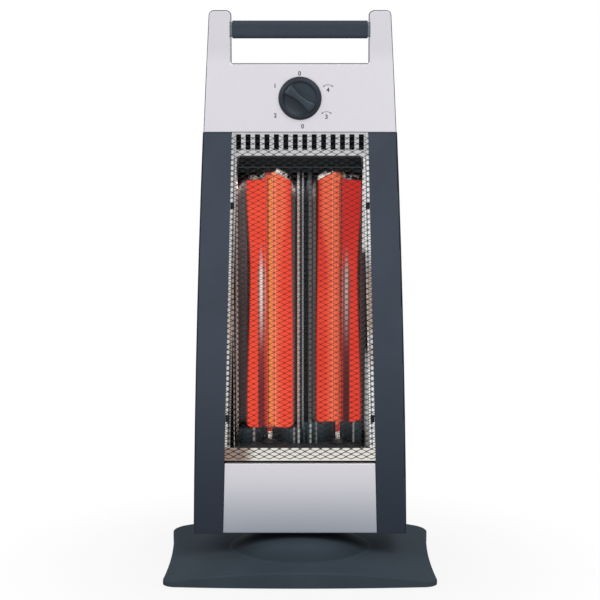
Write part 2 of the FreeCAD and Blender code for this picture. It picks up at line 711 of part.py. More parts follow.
def make_base_screws():
    screws = [
        screw("BaseScrew", x * d.base_screw_x, y * d.base_screw_y, d.foot_height)
        for x in (-1, 1) for y in (-1, 1)
    ]
    keep(group("BaseScrews", screws), "base_screws")


def make_gland():
    rear = d.base_front - d.gland_set_back
    block = box("GlandBlock", -d.gland_half_width, d.gland_half_width, rear - d.gland_depth, rear,
                d.foot_height, d.foot_height + d.gland_height)
    hole = rod("GlandHole", d.gland_bore, d.gland_depth + 4, 0, rear - d.gland_depth - 2,
               d.foot_height + d.gland_height / 2, ALONG_Y)
    keep(cut("CordGland", block, hole), "cord_gland")


# Swing drive
def make_bush():
    flange_top = d.dome_flat + d.bush_flange_thick
    bore = d.spigot_radius + d.run_gap
    section = [(bore, boss_bottom), (d.bush_radius, boss_bottom), (d.bush_radius, d.dome_flat),
               (d.bush_flange_radius, d.dome_flat), (d.bush_flange_radius, flange_top), (bore, flange_top)]
    keep(turned("PivotBush", [section]), "pivot_bush")


def make_swing_arm():
    shoulder_top = boss_bottom - d.fit_gap
    shoulder_bottom = d.shoulder_bottom
    neck_top = d.tower_bottom + d.spigot_neck_length
    section = [
        (d.spigot_bore_radius, d.spigot_foot), (d.spigot_radius, d.spigot_foot),
        (d.spigot_radius, shoulder_bottom), (d.shoulder_radius, shoulder_bottom),
        (d.shoulder_radius, shoulder_top), (d.spigot_radius, shoulder_top),
        (d.spigot_radius, d.tower_bottom), (d.spigot_neck_radius, d.tower_bottom),
        (d.spigot_neck_radius, neck_top), (d.spigot_bore_radius, neck_top),
    ]
    spigot = turned("Spigot", [section])
    lever = new_body("Lever")
    half = d.lever_half_width
    gap = d.slot_half_width
    fork = [(-half, d.spigot_bore_radius + 1), (half, d.spigot_bore_radius + 1), (half, d.lever_reach),
            (gap, d.lever_reach), (gap, d.slot_start), (-gap, d.slot_start), (-gap, d.lever_reach),
            (-half, d.lever_reach)]
    pad(lever, "XY_Plane", d.spigot_foot, d.lever_thick, [fork])
    keep(fuse("SwingArm", [spigot, lever]), "swing_arm")


def make_washers():
    bottom = d.dome_flat + d.bush_flange_thick
    bore = d.spigot_radius + d.fit_gap
    ring = [(bore, bottom), (d.washer_radius, bottom), (d.washer_radius, bottom + d.washer_thick),
            (bore, bottom + d.washer_thick)]
    keep(turned("ThrustWasher", [ring]), "thrust_washer")
    bore = d.spigot_neck_radius + d.fit_gap
    ring = [(bore, floor_top), (d.nut_washer_radius, floor_top),
            (d.nut_washer_radius, floor_top + d.nut_washer_thick), (bore, floor_top + d.nut_washer_thick)]
    keep(turned("PivotWasher", [ring]), "pivot_washer")
    nut = new_body("PivotNut")
    reach = d.nut_flat / math.sqrt(3)
    turns = [math.radians(60 * side) for side in range(6)]
    hexagon = [(reach * math.cos(turn), reach * math.sin(turn)) for turn in turns]
    pad(nut, "XY_Plane", floor_top + d.nut_washer_thick, d.nut_height, [hexagon],
        [(0, 0, d.spigot_neck_radius + d.run_gap)])
    keep(nut, "pivot_nut")


def make_motor():
    can = rod("MotorCan", d.motor_radius, d.motor_height, 0, d.motor_offset, plate_top)
    axle = rod("MotorShaft", d.motor_shaft_radius, d.motor_height + d.motor_shaft_length, 0, d.motor_offset,
               plate_top)
    ears = new_body("MotorEars")
    spread = d.motor_ear_spread
    wide = d.motor_ear_radius
    strap = [(-spread, d.motor_offset - wide), (spread, d.motor_offset - wide),
             via(spread + wide, d.motor_offset), (spread, d.motor_offset + wide),
             (-spread, d.motor_offset + wide), via(-spread - wide, d.motor_offset)]
    pad(ears, "XY_Plane", plate_top, d.motor_ear_thick, [strap],
        [(x * spread, d.motor_offset, d.screw_radius + d.run_gap) for x in (-1, 1)])
    keep(fuse("SwingMotor", [can, axle, ears]), "swing_motor")
    turn = FreeCAD.Rotation(Vector(1, 0, 0), 180)
    seat = plate_top + d.motor_ear_thick
    screws = [motor_screw(x, seat, turn) for x in (-1, 1)]
    keep(group("MotorScrews", screws), "motor_screws")


def motor_screw(hand, seat, turn):
    """Short screw that holds a motor ear on the base plate."""
    body = new_body("MotorScrew")
    pad(body, "XY_Plane", 0, d.motor_ear_thick + d.plate_thick, circles=[(0, 0, d.screw_radius)])
    pad(body, "XY_Plane", 0, d.screw_head_thick, circles=[(0, 0, d.screw_head)], backward=True)
    body.Placement.Rotation = turn
    return place(body, hand * d.motor_ear_spread, d.motor_offset, seat)


def make_crank():
    body = new_body("MotorCrank")
    bottom = d.crank_bottom
    pad(body, "XY_Plane", bottom, d.crank_thick, circles=[
        (0, d.motor_offset, d.crank_radius), (0, d.motor_offset, d.motor_shaft_radius + d.run_gap)])
    pad(body, "XY_Plane", bottom + d.crank_thick, d.pin_length,
        circles=[(0, d.motor_offset + d.crank_throw, d.pin_radius)])
    keep(body, "motor_crank")


# Tip-over switch
def make_tip_switch():
    collar = plate_top + d.plunger_travel
    stem_top = collar + d.plunger_collar_thick
    section = [(0, 0), (d.plunger_radius, 0), (d.plunger_radius, collar), (d.plunger_collar_radius, collar),
               (d.plunger_collar_radius, stem_top), (0, stem_top)]
    plunger = turned("TipPlunger", [section])
    place(plunger, d.plunger_x, -d.plunger_y, 0)
    keep(plunger, "tip_plunger")
    start = d.plunger_x - d.plunger_collar_radius - d.fit_gap
    case = box("SwitchCase", start - d.tip_switch_length, start, -d.plunger_y - d.tip_switch_width / 2,
               -d.plunger_y + d.tip_switch_width / 2, plate_top, plate_top + d.tip_switch_height)
    leaf_bottom = stem_top + d.fit_gap
    leaf = box("SwitchLeaf", start - d.tip_switch_length / 2, d.plunger_x + d.plunger_radius,
               -d.plunger_y - d.tip_switch_width / 4, -d.plunger_y + d.tip_switch_width / 4,
               leaf_bottom, plate_top + d.tip_switch_height + 0.4)
    keep(fuse("TipSwitch", [case, leaf]), "tip_switch")


# Tower shell
def make_floor():
    front = d.tower_front - d.rail_face
    split = d.tower_split - d.fit_gap
    rear = d.back_bottom - d.wall * 1.2 - d.fit_gap
    front_half = d.window_half_bottom - d.seam - d.wall - d.fit_gap
    wide = side(floor_top, d.wall) - d.fit_gap
    narrow = wide - d.back_round
    body = new_body("TowerFloor")
    outline = [(-front_half, -front), (front_half, -front), (front_half, -split), (wide, -split),
               (wide, rear - d.back_round), (narrow, rear), (-narrow, rear), (-wide, rear - d.back_round),
               (-wide, -split), (-front_half, -split)]
    holes = [(0, 0, d.spigot_neck_radius + d.run_gap)]
    holes += [(x * d.floor_screw_x, d.floor_screw_y, d.screw_radius + d.fit_gap) for x in (-1, 1)]
    pad(body, "XY_Plane", d.tower_bottom, d.floor_thick, [outline], holes)
    keep(body, "tower_floor")
    screws = [screw("FloorScrew", x * d.floor_screw_x, d.floor_screw_y, d.tower_bottom) for x in (-1, 1)]
    keep(group("FloorScrews", screws), "floor_screws")


def make_rails():
    for name, hand in SIDES:
        body = new_body(name.capitalize() + "Rail")
        low = d.tower_bottom
        top = rail_top
        mid = (low + top) / 2
        face = [(hand * window_edge(low), low), (hand * side(low), low), via(hand * side(mid), mid),
                (hand * side(top), top), (hand * window_edge(top), top)]
        pad(body, "XZ_Plane", d.tower_split, d.tower_front - d.tower_split, [face])
        rounded(body, lambda e: outer_front(e, hand), d.rail_round)
        inner_low = low + d.wall
        inner_top = top - d.wall
        hollow = [(hand * (d.window_half_top - 20), inner_low), (hand * side(inner_low, d.wall), inner_low),
                  via(hand * side(mid, d.wall), mid), (hand * side(inner_top, d.wall), inner_top),
                  (hand * (d.window_half_top - 20), inner_top)]
        pocket(body, "XZ_Plane", d.tower_front - d.rail_face, d.tower_front, [hollow])
        spots = [(hand * d.casing_screw_x, z) for z in (d.casing_screw_low, d.casing_screw_high)]
        add_screw_posts(body, spots, d.tower_front - d.rail_face)
        keep(body, name + "_rail")


def add_screw_posts(body, spots, inner_face):
    """Drilled posts from the inside of a front wall back to the joint."""
    length = as_size(inner_face) - d.tower_split
    pad(body, "XZ_Plane", d.tower_split, length, circles=[(x, z, d.screw_boss) for x, z in spots])
    pocket(body, "XZ_Plane", d.tower_split + d.screw_length, d.screw_length + 5,
           circles=[(x, z, d.screw_radius + d.run_gap) for x, z in spots])


def outer_front(edge, hand):
    """The long edge between a rail's face and its outer side."""
    middle = edge.CenterOfMass
    long = edge.BoundBox.ZLength > d.tower_height.value / 2
    in_front = abs(middle.y + d.tower_front.value) < 0.01
    return long and in_front and hand * middle.x > d.tower_half_top.value


def tower_outline(inset, low, post_inset, top_inset):
    """Upper outline with the two handle posts."""
    top = d.tower_top - top_inset
    mid = (as_size(low) + top) / 2
    inner = d.post_inner + post_inset
    hole = d.hand_hole_bottom - post_inset
    right = [(side(low, inset), low), via(side(mid, inset), mid), (side(top, inset), top),
             (inner, top), (inner, hole)]
    left = [(-inner, hole), (-inner, top), (-side(top, inset), top), via(-side(mid, inset), mid),
            (-side(low, inset), low)]
    return right + left


def post_edges(edge):
    """Corner edges at the post tops."""
    return runs_along(edge, Vector(0, 1, 0)) and edge.CenterOfMass.z > d.tower_top.value - d.wall.value - 2


def hole_edges(edge):
    """Corner edges at the bottom of the hand hole."""
    near = abs(edge.CenterOfMass.z - d.hand_hole_bottom.value) < 0.5
    return runs_along(edge, Vector(0, 1, 0)) and near


def on_front(edge, front):
    """Edges that lie in a front face."""
    return abs(edge.BoundBox.YMin + front.value) < 0.01 and abs(edge.BoundBox.YMax + front.value) < 0.01


def make_control_panel():
    body = new_body("ControlPanel")
    depth = panel_front - d.tower_split
    outline = tower_outline(d.panel_inset, d.panel_bottom, as_size(0), d.panel_top_inset)
    pad(body, "XZ_Plane", d.tower_split, depth, [outline])
    rounded(body, post_edges, d.post_round)
    rounded(body, hole_edges, d.hole_round)
    hollow = tower_outline(d.panel_inset + d.wall, d.panel_bottom + d.wall, d.wall,
                           d.panel_top_inset + d.wall)
    pocket(body, "XZ_Plane", panel_front - d.wall, depth, [hollow])
    add_screw_posts(body, [(x * d.panel_screw_x, d.panel_screw_z) for x in (-1, 1)], panel_front - d.wall)
    lip_top = d.panel_bottom.value + 0.01
    rounded(body, lambda e: on_front(e, panel_front) and e.BoundBox.ZMax < lip_top, d.panel_lip)
    pocket(body, "XZ_Plane", panel_front + 1, d.wall + 5, circles=[(0, d.knob_z, d.shaft_radius + d.fit_gap)])
    middle_z = (d.handle_bottom + d.handle_top) / 2
    rod_end = handle_rod_end()
    hole = rod("RodHoles", d.rod_radius + d.run_gap, 2 * rod_end, -rod_end, -handle_middle(),
               middle_z, ALONG_X)
    keep(cut("ControlPanelDrilled", body, hole), "control_panel")


def handle_middle():
    """Handle axis before the swing axis."""
    return d.tower_front - d.handle_depth / 2 + 0.5


def handle_rod_end():
    return d.post_inner + d.wall + 1


def make_lower_panel():
    body = new_body("LowerPanel")
    low = d.tower_bottom + d.seam
    top = d.lower_panel_top
    front = d.tower_front + d.lower_panel_proud
    face = [(-(window_edge(low) - d.seam), low), (window_edge(low) - d.seam, low),
            (window_edge(top) - d.seam, top), (-(window_edge(top) - d.seam), top)]
    pad(body, "XZ_Plane", d.tower_split, front - d.tower_split, [face])
    rounded(body, lambda e: on_front(e, front), d.lower_panel_round)
    inner_top = top - d.wall
    edge = d.seam + d.wall
    hollow = [(-(window_edge(low) - edge), low - 5), (window_edge(low) - edge, low - 5),
              (window_edge(inner_top) - edge, inner_top), (-(window_edge(inner_top) - edge), inner_top)]
    pocket(body, "XZ_Plane", front - d.wall, front, [hollow])
    keep(body, "lower_panel")


def rear_form(name, inset, back_inset, low):
    """Block behind the joint, cut to the sloping rear face and rounded along its long edges."""
    body = new_body(name)
    pad(body, "XZ_Plane", d.tower_split, d.tower_split + d.back_bottom + 20,
        [tower_outline(inset, low, inset, inset)], backward=True)
    bottom = as_size(low) - 60
    top = d.tower_top + 60
    behind = [(back_at(bottom) - back_inset, bottom), (d.back_bottom + 200, bottom),
              (d.back_bottom + 200, top),
              (back_at(top) - back_inset, top)]
    cut_across(body, "YZ_Plane", [behind])
    rounded(body, long_back_edge, d.back_round - inset)
    rounded(body, post_edges, d.post_round + d.panel_top_inset - inset)
    return body


def long_back_edge(edge):
    """The long edges between the rear face and the sides."""
    middle = edge.CenterOfMass
    outside = abs(middle.x) > d.post_inner.value + 10
    return edge.BoundBox.ZLength > d.tower_height.value / 2 and middle.y > 0 and outside


def make_rear_cover():
    outer = rear_form("RearOuter", as_size(0), as_size(0), d.tower_bottom)
    inner = rear_form("RearInner", d.wall, d.wall, d.tower_bottom - 10)
    shell = cut("RearShell", outer, inner)
    bosses = []
    holes = []
    for x, z in casing_spots():
        bosses.append(rod("CasingBoss", d.screw_boss + d.wall / 2, d.tower_split + back_at(z) - 1,
                          x, -d.tower_split,
                          z, ALONG_Y))
        holes.append(rod("CasingHole", d.screw_radius + d.fit_gap, d.screw_ledge + 2,
                         x, -d.tower_split - 1, z,
                         ALONG_Y))
        holes.append(rod("CasingSink", d.screw_head + d.fit_gap, d.tower_split + d.back_bottom + 10, x,
                         -d.tower_split + d.screw_ledge, z, ALONG_Y))
    for name, hand in SIDES:
        near = hand * d.floor_screw_x - d.floor_block if hand > 0 else -side(floor_top, d.wall / 2)
        far = side(floor_top, d.wall / 2) if hand > 0 else hand * d.floor_screw_x + d.floor_block
        bosses.append(box("FloorBlock", near, far,
                          d.floor_screw_y - d.floor_block, d.floor_screw_y + d.floor_block,
                          floor_top, floor_top + d.floor_block_height))
        holes.append(rod("FloorBlockHole", d.screw_radius + d.run_gap, d.screw_length + d.fit_gap,
                         hand * d.floor_screw_x, d.floor_screw_y, d.tower_bottom))
    inside = common("CasingBossesInside", fuse("CasingBosses", bosses), outer)
    solid = fuse("RearSolid", [shell, inside])
    slots = []
    for x in (-1, 1):
        for number in range(int(d.louvre_count.value)):
            z = d.louvre_first + number * d.louvre_pitch
            slots.append(box("Louvre", x * d.louvre_middle - d.louvre_width / 2,
                             x * d.louvre_middle + d.louvre_width / 2, d.shield_back + 4, d.back_bottom + 20,
                             z, z + d.louvre_height))
    keep(cut("RearCover", solid, group("RearHoles", holes + slots)), "rear_cover")


def casing_spots():
    """Where the rear cover is screwed to the rails and the control panel."""
    spots = []
    for x in (-1, 1):
        spots.append((x * d.casing_screw_x, d.casing_screw_low))
        spots.append((x * d.casing_screw_x, d.casing_screw_high))
        spots.append((x * d.panel_screw_x, d.panel_screw_z))
    return spots


def make_casing_screws():
    seat = -d.tower_split + d.screw_ledge
    screws = [screw("CasingScrew", x, seat, z, TO_FRONT) for x, z in casing_spots()]
    keep(group("CasingScrews", screws), "casing_screws")


# Handle
def handle_block(name, low_x, high_x, inset, axis_front):
    """Rounded bar along X; the inset makes the collars smaller."""
    body = new_body(name)
    half = d.handle_depth / 2 - inset
    face = rectangle(-axis_front - half, d.handle_bottom + inset, -axis_front + half, d.handle_top - inset)
    pad(body, "YZ_Plane", low_x, as_size(high_x) - low_x, [face])
    rounded(body, lambda e: runs_along(e, Vector(1, 0, 0)), d.handle_round - inset)
    return body


def make_handle():
    axis_front = handle_middle()
    middle_z = (d.handle_bottom + d.handle_top) / 2
    end = d.post_inner - d.collar_length - d.fit_gap / 2
    bar = handle_block("HandleForm", -end, end, as_size(0), axis_front)
    bore = rod("HandleBore", d.rod_radius + d.run_gap, 2 * end, -end, -axis_front, middle_z, ALONG_X)
    keep(cut("HandleBar", bar, bore), "handle_bar")
    collars = []
    for name, hand in SIDES:
        near = end if hand > 0 else -end - d.collar_length
        form = handle_block(name.capitalize() + "Collar", near, near + d.collar_length, d.collar_inset,
                            axis_front)
        hole = rod("CollarBore", d.rod_radius + d.run_gap, d.collar_length + 2,
                   near - 1, -axis_front, middle_z,
                   ALONG_X)
        collars.append(cut(name.capitalize() + "CollarDrilled", form, hole))
    keep(group("HandleCollars", collars), "handle_collars")
    rod_end = handle_rod_end()
    keep(rod("HandleRod", d.rod_radius, 2 * rod_end, -rod_end, -axis_front, middle_z, ALONG_X),
         "handle_rod")


# Knob and switch
def make_knob():
    back = panel_front + d.fit_gap
    body = new_body("KnobForm")
    pad(body, "XZ_Plane", back, d.knob_skirt, circles=[(0, d.knob_z, d.knob_radius)])
    rounded(body, lambda e: abs(e.CenterOfMass.y + (back + d.knob_skirt).value) < 0.01, d.knob_skirt * 0.4)
    pocket(body, "XZ_Plane", back + d.knob_skirt - d.knob_dish, d.knob_dish + 1,
           circles=[(0, d.knob_z, d.knob_dish_radius)], backward=True)
    floor = back + d.knob_skirt - d.knob_dish
    angle = math.radians(d.grip_angle.value)
    long_x, long_z = d.grip_half_length * math.cos(angle), d.grip_half_length * math.sin(angle)
    wide_x, wide_z = d.grip_half_width * -math.sin(angle), d.grip_half_width * math.cos(angle)
    grip = [(long_x + wide_x, d.knob_z + long_z + wide_z), (-long_x + wide_x, d.knob_z - long_z + wide_z),
            (-long_x - wide_x, d.knob_z - long_z - wide_z), (long_x - wide_x, d.knob_z + long_z - wide_z)]
    ridge = pad(body, "XZ_Plane", floor, d.grip_height, [grip])
    ridge.TaperAngle = -7
    pocket(body, "XZ_Plane", back + d.shaft_in_knob, d.shaft_in_knob + 5,
           circles=[(0, d.knob_z, d.shaft_radius + d.run_gap)])
    keep(body, "control_knob")
    rear = panel_front - d.wall - d.shaft_in_switch
    shaft = rod("SwitchShaft", d.shaft_radius, back + d.shaft_in_knob - rear, 0, -rear, d.knob_z, TO_FRONT)
    keep(shaft, "switch_shaft")


def make_switch():
    body = new_body("RotarySwitch")
    front = panel_front - d.wall
    pad(body, "XZ_Plane", front - d.switch_depth, d.switch_depth, circles=[(0, d.knob_z, d.switch_radius)])
    pocket(body, "XZ_Plane", front + 1, d.shaft_in_switch + 1 + d.fit_gap,
           circles=[(0, d.knob_z, d.shaft_radius + d.run_gap)])
    keep(body, "rotary_switch")


# Mesh guard
def window_sheet():
    """Outline of the sheets behind the rails, stepped in where the rails have their top wall."""
    step = rail_top - d.wall - d.fit_gap
    right = [(window_edge(window_bottom) + d.mesh_overlap, window_bottom),
             (window_edge(step) + d.mesh_overlap, step),
             (window_edge(step) - d.fit_gap, step), (window_edge(rail_top) - d.fit_gap, rail_top)]
    return right + [(-x, z) for x, z in reversed(right)]


def make_mesh():
    low = window_bottom
    top = rail_top
    corners = window_sheet()
    front = -mesh_front.value
    outline = Part.makePolygon([Vector(x.value, front, z.value) for x, z in corners + corners[:1]])
    half_x = (d.mesh_pitch_x.value - d.mesh_strand.value * 1.9) / 2
    half_z = (d.mesh_pitch_z.value - d.mesh_strand.value) / 2
    wires = [outline]
    row = 0
    z = low.value + d.mesh_pitch_z.value / 2 + 1
    while z + half_z < (top - d.wall).value - 1:
        shift = d.mesh_pitch_x.value / 2 if row % 2 else 0.0
        count = int(window_edge(z).value / d.mesh_pitch_x.value) + 2
        for column in range(-count, count + 1):
            x = column * d.mesh_pitch_x.value + shift
            if abs(x) + half_x < window_edge(z + half_z).value + d.mesh_overlap.value - 1.5:
                tips = [(x - half_x, z), (x, z - half_z), (x + half_x, z), (x, z + half_z), (x - half_x, z)]
                wires.append(Part.makePolygon([Vector(a, front, b) for a, b in tips]))
        row += 1
        z += d.mesh_pitch_z.value / 2
    net = Part.Face(wires, "Part::FaceMakerBullseye").extrude(Vector(0, d.mesh_thick.value, 0))
    item = doc.addObject("Part::Feature", "MeshGuard")
    item.Shape = net
    keep(item, "mesh_guard")


def make_clips():
    clips = []
    for name, hand in SIDES:
        for z in (d.clip_lower_z, d.clip_upper_z):
            outer = window_edge(z + d.clip_height / 2) - d.fit_gap
            low_x = outer - d.clip_width if hand > 0 else -outer
            clips.append(box("GuardClip", low_x, low_x + d.clip_width, -mesh_front - d.rail_face * 0.6,
                             -mesh_front - 0.02, z - d.clip_height / 2, z + d.clip_height / 2))
    keep(group("GuardClips", clips), "guard_clips")


# Window frame, reflector and tubes
def make_window_frame():
    body = new_body("WindowFrame")
    outline = window_sheet()
    low_half = window_edge(d.opening_bottom) - d.flange_width
    top_half = window_edge(d.opening_top) - d.flange_width
    opening = [(-low_half, d.opening_bottom), (low_half, d.opening_bottom), (top_half, d.opening_top),
               (-top_half, d.opening_top)]
    loops = [outline, opening]
    for number in range(VENT_SLOTS):
        x = (number - (VENT_SLOTS - 1) / 2) * d.vent_pitch
        loops.append(rectangle(x - d.vent_width / 2, d.vent_bottom, x + d.vent_width / 2, d.vent_top))
    pad(body, "XZ_Plane", frame_front - d.sheet, d.sheet, loops)
    keep(body, "window_frame")


def make_reflector():
    body = new_body("Reflector")
    front = reflector_front
    rim = d.trough_rim
    thick = d.sheet
    half = d.opening_half
    deep = rim - d.trough_deep
    left = d.trough_shift - d.trough_middle
    right = d.trough_shift + d.trough_middle
    mouth = d.trough_half
    hem = half + d.hem
    lip = -front + thick
    near = [(-hem, -front), (-half, -front), (-half, -rim),
            (left - mouth, -rim), via(left, -deep), (left + mouth, -rim),
            (right - mouth, -rim), via(right, -deep), (right + mouth, -rim),
            (half, -rim), (half, -front), (hem, -front)]
    far = [(hem, lip), (half + thick, lip), (half + thick, -rim + thick), (right + mouth, -rim + thick),
           via(right, -deep + thick), (right - mouth, -rim + thick), (left + mouth, -rim + thick),
           via(left, -deep + thick), (left - mouth, -rim + thick), (-half - thick, -rim + thick),
           (-half - thick, lip), (-hem, lip)]
    lower, upper = cap_bottoms()
    bottom = lower + d.fit_gap
    top = upper + d.cap_length - d.fit_gap
    pad(body, "XY_Plane", bottom, top - bottom, [near + far])
    keep(body, "reflector")


def cap_bottoms():
    """Lower faces of the lower and upper end caps."""
    lower = d.glow_bottom - d.cap_length + d.cap_overlap
    upper = d.glow_top - d.cap_overlap
    return lower, upper


def make_tubes():
    lower, upper = cap_bottoms()
    for name, hand in SIDES:
        x = d.trough_shift + hand * d.trough_middle
        y = -d.tube_front
        low = lower + d.cap_length - d.tube_end
        high = upper + d.tube_end
        tube = new_body(name.capitalize() + "Tube")
        pad(tube, "XY_Plane", low, high - low, circles=[(x, y, d.tube_radius), (x, y, d.tube_bore)])
        keep(tube, name + "_tube")
        strip = box(name.capitalize() + "Strip", x - d.strip_half_width, x + d.strip_half_width,
                    y - d.strip_thick / 2, y + d.strip_thick / 2, d.glow_bottom, d.glow_top)
        lead = rod(name.capitalize() + "Lead", d.lead_radius, upper + d.cap_length - lower - 2,
                   x, y, lower + 1)
        keep(fuse(name.capitalize() + "Filament", [strip, lead]), name + "_filament")
        for level, bottom, socket in (("lower", lower, lower + d.cap_length - d.tube_end),
                                      ("upper", upper, upper)):
            cap = new_body(name.capitalize() + level.capitalize() + "Cap")
            pad(cap, "XY_Plane", bottom, d.cap_length,
                circles=[(x, y, d.cap_radius), (x, y, d.lead_radius + d.fit_gap / 2)])
            bore = d.tube_radius + d.fit_gap / 2
            pocket(cap, "XY_Plane", socket + d.tube_end, d.tube_end, circles=[(x, y, bore)])
            keep(cap, name + "_" + level + "_cap")


def make_brackets():
    lower, upper = cap_bottoms()
    half = d.opening_half - d.fit_gap
    thick = d.bracket_thick
    rear = d.trough_rim - d.trough_deep - d.sheet - d.fit_gap - thick
    for level, shelf_low, wall_low, wall_high in (
            ("lower", lower - thick, lower - thick, d.glow_bottom - d.fit_gap),
            ("upper", upper + d.cap_length, d.glow_top + d.fit_gap, d.opening_top + thick)):
        shelf = box("Shelf", -half, half, -reflector_front, -rear, shelf_low, shelf_low + thick)
        back = box("ShelfBack", -half, half, -rear - thick, -rear, wall_low, wall_high)
        keep(fuse(level.capitalize() + "Bracket", [shelf, back]), level + "_bracket")


def make_heat_shield():
    body = new_body("HeatShield")
    half = d.shield_half
    thick = d.sheet
    front = frame_front - d.sheet - d.fit_gap
    rear = d.shield_back
    channel = [(-half, -front), (-half + thick, -front), (-half + thick, rear - thick),
               (half - thick, rear - thick),
               (half - thick, -front), (half, -front), (half, rear), (-half, rear)]
    pad(body, "XY_Plane", d.opening_bottom - 8, d.opening_top - d.opening_bottom + 14, [channel])
    keep(body, "heat_shield")


def make_electrics():
    cutout = rod("ThermalCutout", d.cutout_radius, d.cutout_thick, 0, d.shield_back, d.opening_top - 30,
                 ALONG_Y)
    keep(cutout, "thermal_cutout")
    middle = d.window_half_bottom * 0.6
    block = box("TerminalBlock", -middle - d.terminal_width / 2, -middle + d.terminal_width / 2, 4,
                4 + d.terminal_depth, floor_top, floor_top + d.terminal_height)
    keep(block, "terminal_block")


make_base_cover()
make_base_plate()
make_feet()
make_base_screws()
make_gland()
make_bush()
make_swing_arm()
make_washers()
make_motor()
make_crank()
make_tip_switch()
make_floor()
make_rails()
make_control_panel()
make_lower_panel()
make_rear_cover()
make_casing_screws()
make_handle()
make_knob()
make_switch()
make_mesh()
make_clips()
make_window_frame()
make_reflector()
make_tubes()
make_brackets()
make_heat_shield()
make_electrics()

# Every object has to be sound before anything is written
doc.recompute()
faults = []
for item in doc.Objects:
    if "Invalid" in item.State or "Error" in item.State:
        faults.append(item.Label + " " + " ".join(item.State))
for item in parts:
    if item.Shape.isNull() or not item.Shape.isValid() or not item.Shape.Solids:
        faults.append(item.Label + " has no sound solid")
if faults:
    raise RuntimeError("; ".join(faults))

os.makedirs("parts", exist_ok=True)
for item in parts:
    item.Shape.exportStep("parts/" + item.Label + ".step")
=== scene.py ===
import json
import math

import bmesh
import bpy
from mathutils import Matrix, Vector


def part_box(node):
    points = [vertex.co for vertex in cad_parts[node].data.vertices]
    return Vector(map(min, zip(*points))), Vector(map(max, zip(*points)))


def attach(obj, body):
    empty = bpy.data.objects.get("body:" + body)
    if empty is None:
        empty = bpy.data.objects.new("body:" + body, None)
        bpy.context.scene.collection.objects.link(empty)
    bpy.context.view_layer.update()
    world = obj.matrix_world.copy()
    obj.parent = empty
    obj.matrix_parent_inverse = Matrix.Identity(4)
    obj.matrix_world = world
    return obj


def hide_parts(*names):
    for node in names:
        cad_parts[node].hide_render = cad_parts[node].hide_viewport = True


# A swinging tower heater with two carbon tubes. Metres, Z up, the front faces -Y.
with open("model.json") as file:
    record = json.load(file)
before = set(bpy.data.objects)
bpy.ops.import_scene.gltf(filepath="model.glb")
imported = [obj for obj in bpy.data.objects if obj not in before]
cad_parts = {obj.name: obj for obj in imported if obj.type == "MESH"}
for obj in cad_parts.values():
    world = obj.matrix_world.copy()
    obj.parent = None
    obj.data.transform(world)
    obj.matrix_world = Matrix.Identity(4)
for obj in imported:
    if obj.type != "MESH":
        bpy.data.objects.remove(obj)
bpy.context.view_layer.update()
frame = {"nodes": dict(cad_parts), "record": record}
cad_nodes = frame["nodes"]
MM = 0.001


def box_middle(box, axis):
    """Middle of a box along one axis."""
    return (box[0][axis] + box[1][axis]) / 2


# Camera of the photograph
CAMERA_PLACE = (0.0, -2.185, 0.612)
CAMERA_PITCH = math.radians(81.8)
CAMERA_LENS = 120.3
CAMERA_SENSOR = 36.0

# Places that the dressed pieces share with the solids
LOWER_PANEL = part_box("lower_panel")
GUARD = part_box("mesh_guard")
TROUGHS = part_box("reflector")
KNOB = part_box("control_knob")
PANEL_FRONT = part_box("control_panel")[0][1]
WINDOW_LOW = GUARD[0][2]
WINDOW_HIGH = GUARD[1][2]
GUARD_MIDDLE = box_middle(GUARD, 1)
KNOB_X = box_middle(KNOB, 0)
KNOB_Z = box_middle(KNOB, 2)
TUBE_LEFT = box_middle(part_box("left_tube"), 0)
TUBE_RIGHT = box_middle(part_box("right_tube"), 0)
TUBE_MIDDLE = (TUBE_LEFT + TUBE_RIGHT) / 2
TUBE_SPREAD = (TUBE_RIGHT - TUBE_LEFT) / 2

# Inner edges of the rails: heights and half widths between them
RAIL_LOW, RAIL_HALF_LOW = 44 * MM, 85 * MM
RAIL_HIGH, RAIL_HALF_HIGH = 484 * MM, 73 * MM

# Folds of the reflector
TROUGH_HALF = 24.3 * MM
TROUGH_RIM = -18.0 * MM
TROUGH_DEPTH = 12.4 * MM
WALL_HALF = 67.0 * MM
HEM_FRONT = TROUGHS[0][1]
HEM_FLARE = 6.0 * MM
SHEET_THICK = 0.5 * MM

# Outline of the painted glow on the reflector: heights, drops of its top edge, and its reach as a share of a
# trough's half width
GLOW_TOP = 0.4395
GLOW_SCALLOP = 10.5 * MM
GLOW_SHELF = 8.8 * MM
GLOW_SHOULDER = 0.425
GLOW_WAIST = 0.33
GLOW_HIP = 0.18
GLOW_FOOT = 0.156
GLOW_FOOT_STEP = 6.5 * MM
GLOW_CORNER = 4.0 * MM
WAIST_REACH, FULL_REACH = 0.865, 1.02

# The glow's inner side: heights between which it widens, its reach at them, and what left and right add
INNER_WIDENS = (0.42, 0.23)
INNER_REACH = (0.92, 1.0)
INNER_SHIFT = (0.045, -0.035)

# The gap in the glow: where it opens and is fully open, and its place and half width as such shares
GAP_TIP = 0.371
GAP_FULL = 0.328
GAP_MIDDLE = 0.388
GAP_HALF = 0.153

# Tones of the painted glow: heights where each starts and is full, and two places across it as such shares
DIM_RED = (0.28, 0.4)
STRIP_SHADOW = (0.2, 0.26)
HALO_GROWS = (0.33, 0.4)
GAP_RED_CHANGES = (0.19, 0.27)
GREY_GAP = (0.235, 0.31)
INNER_LINE = -0.21
SHADOW_PLACE = 0.14
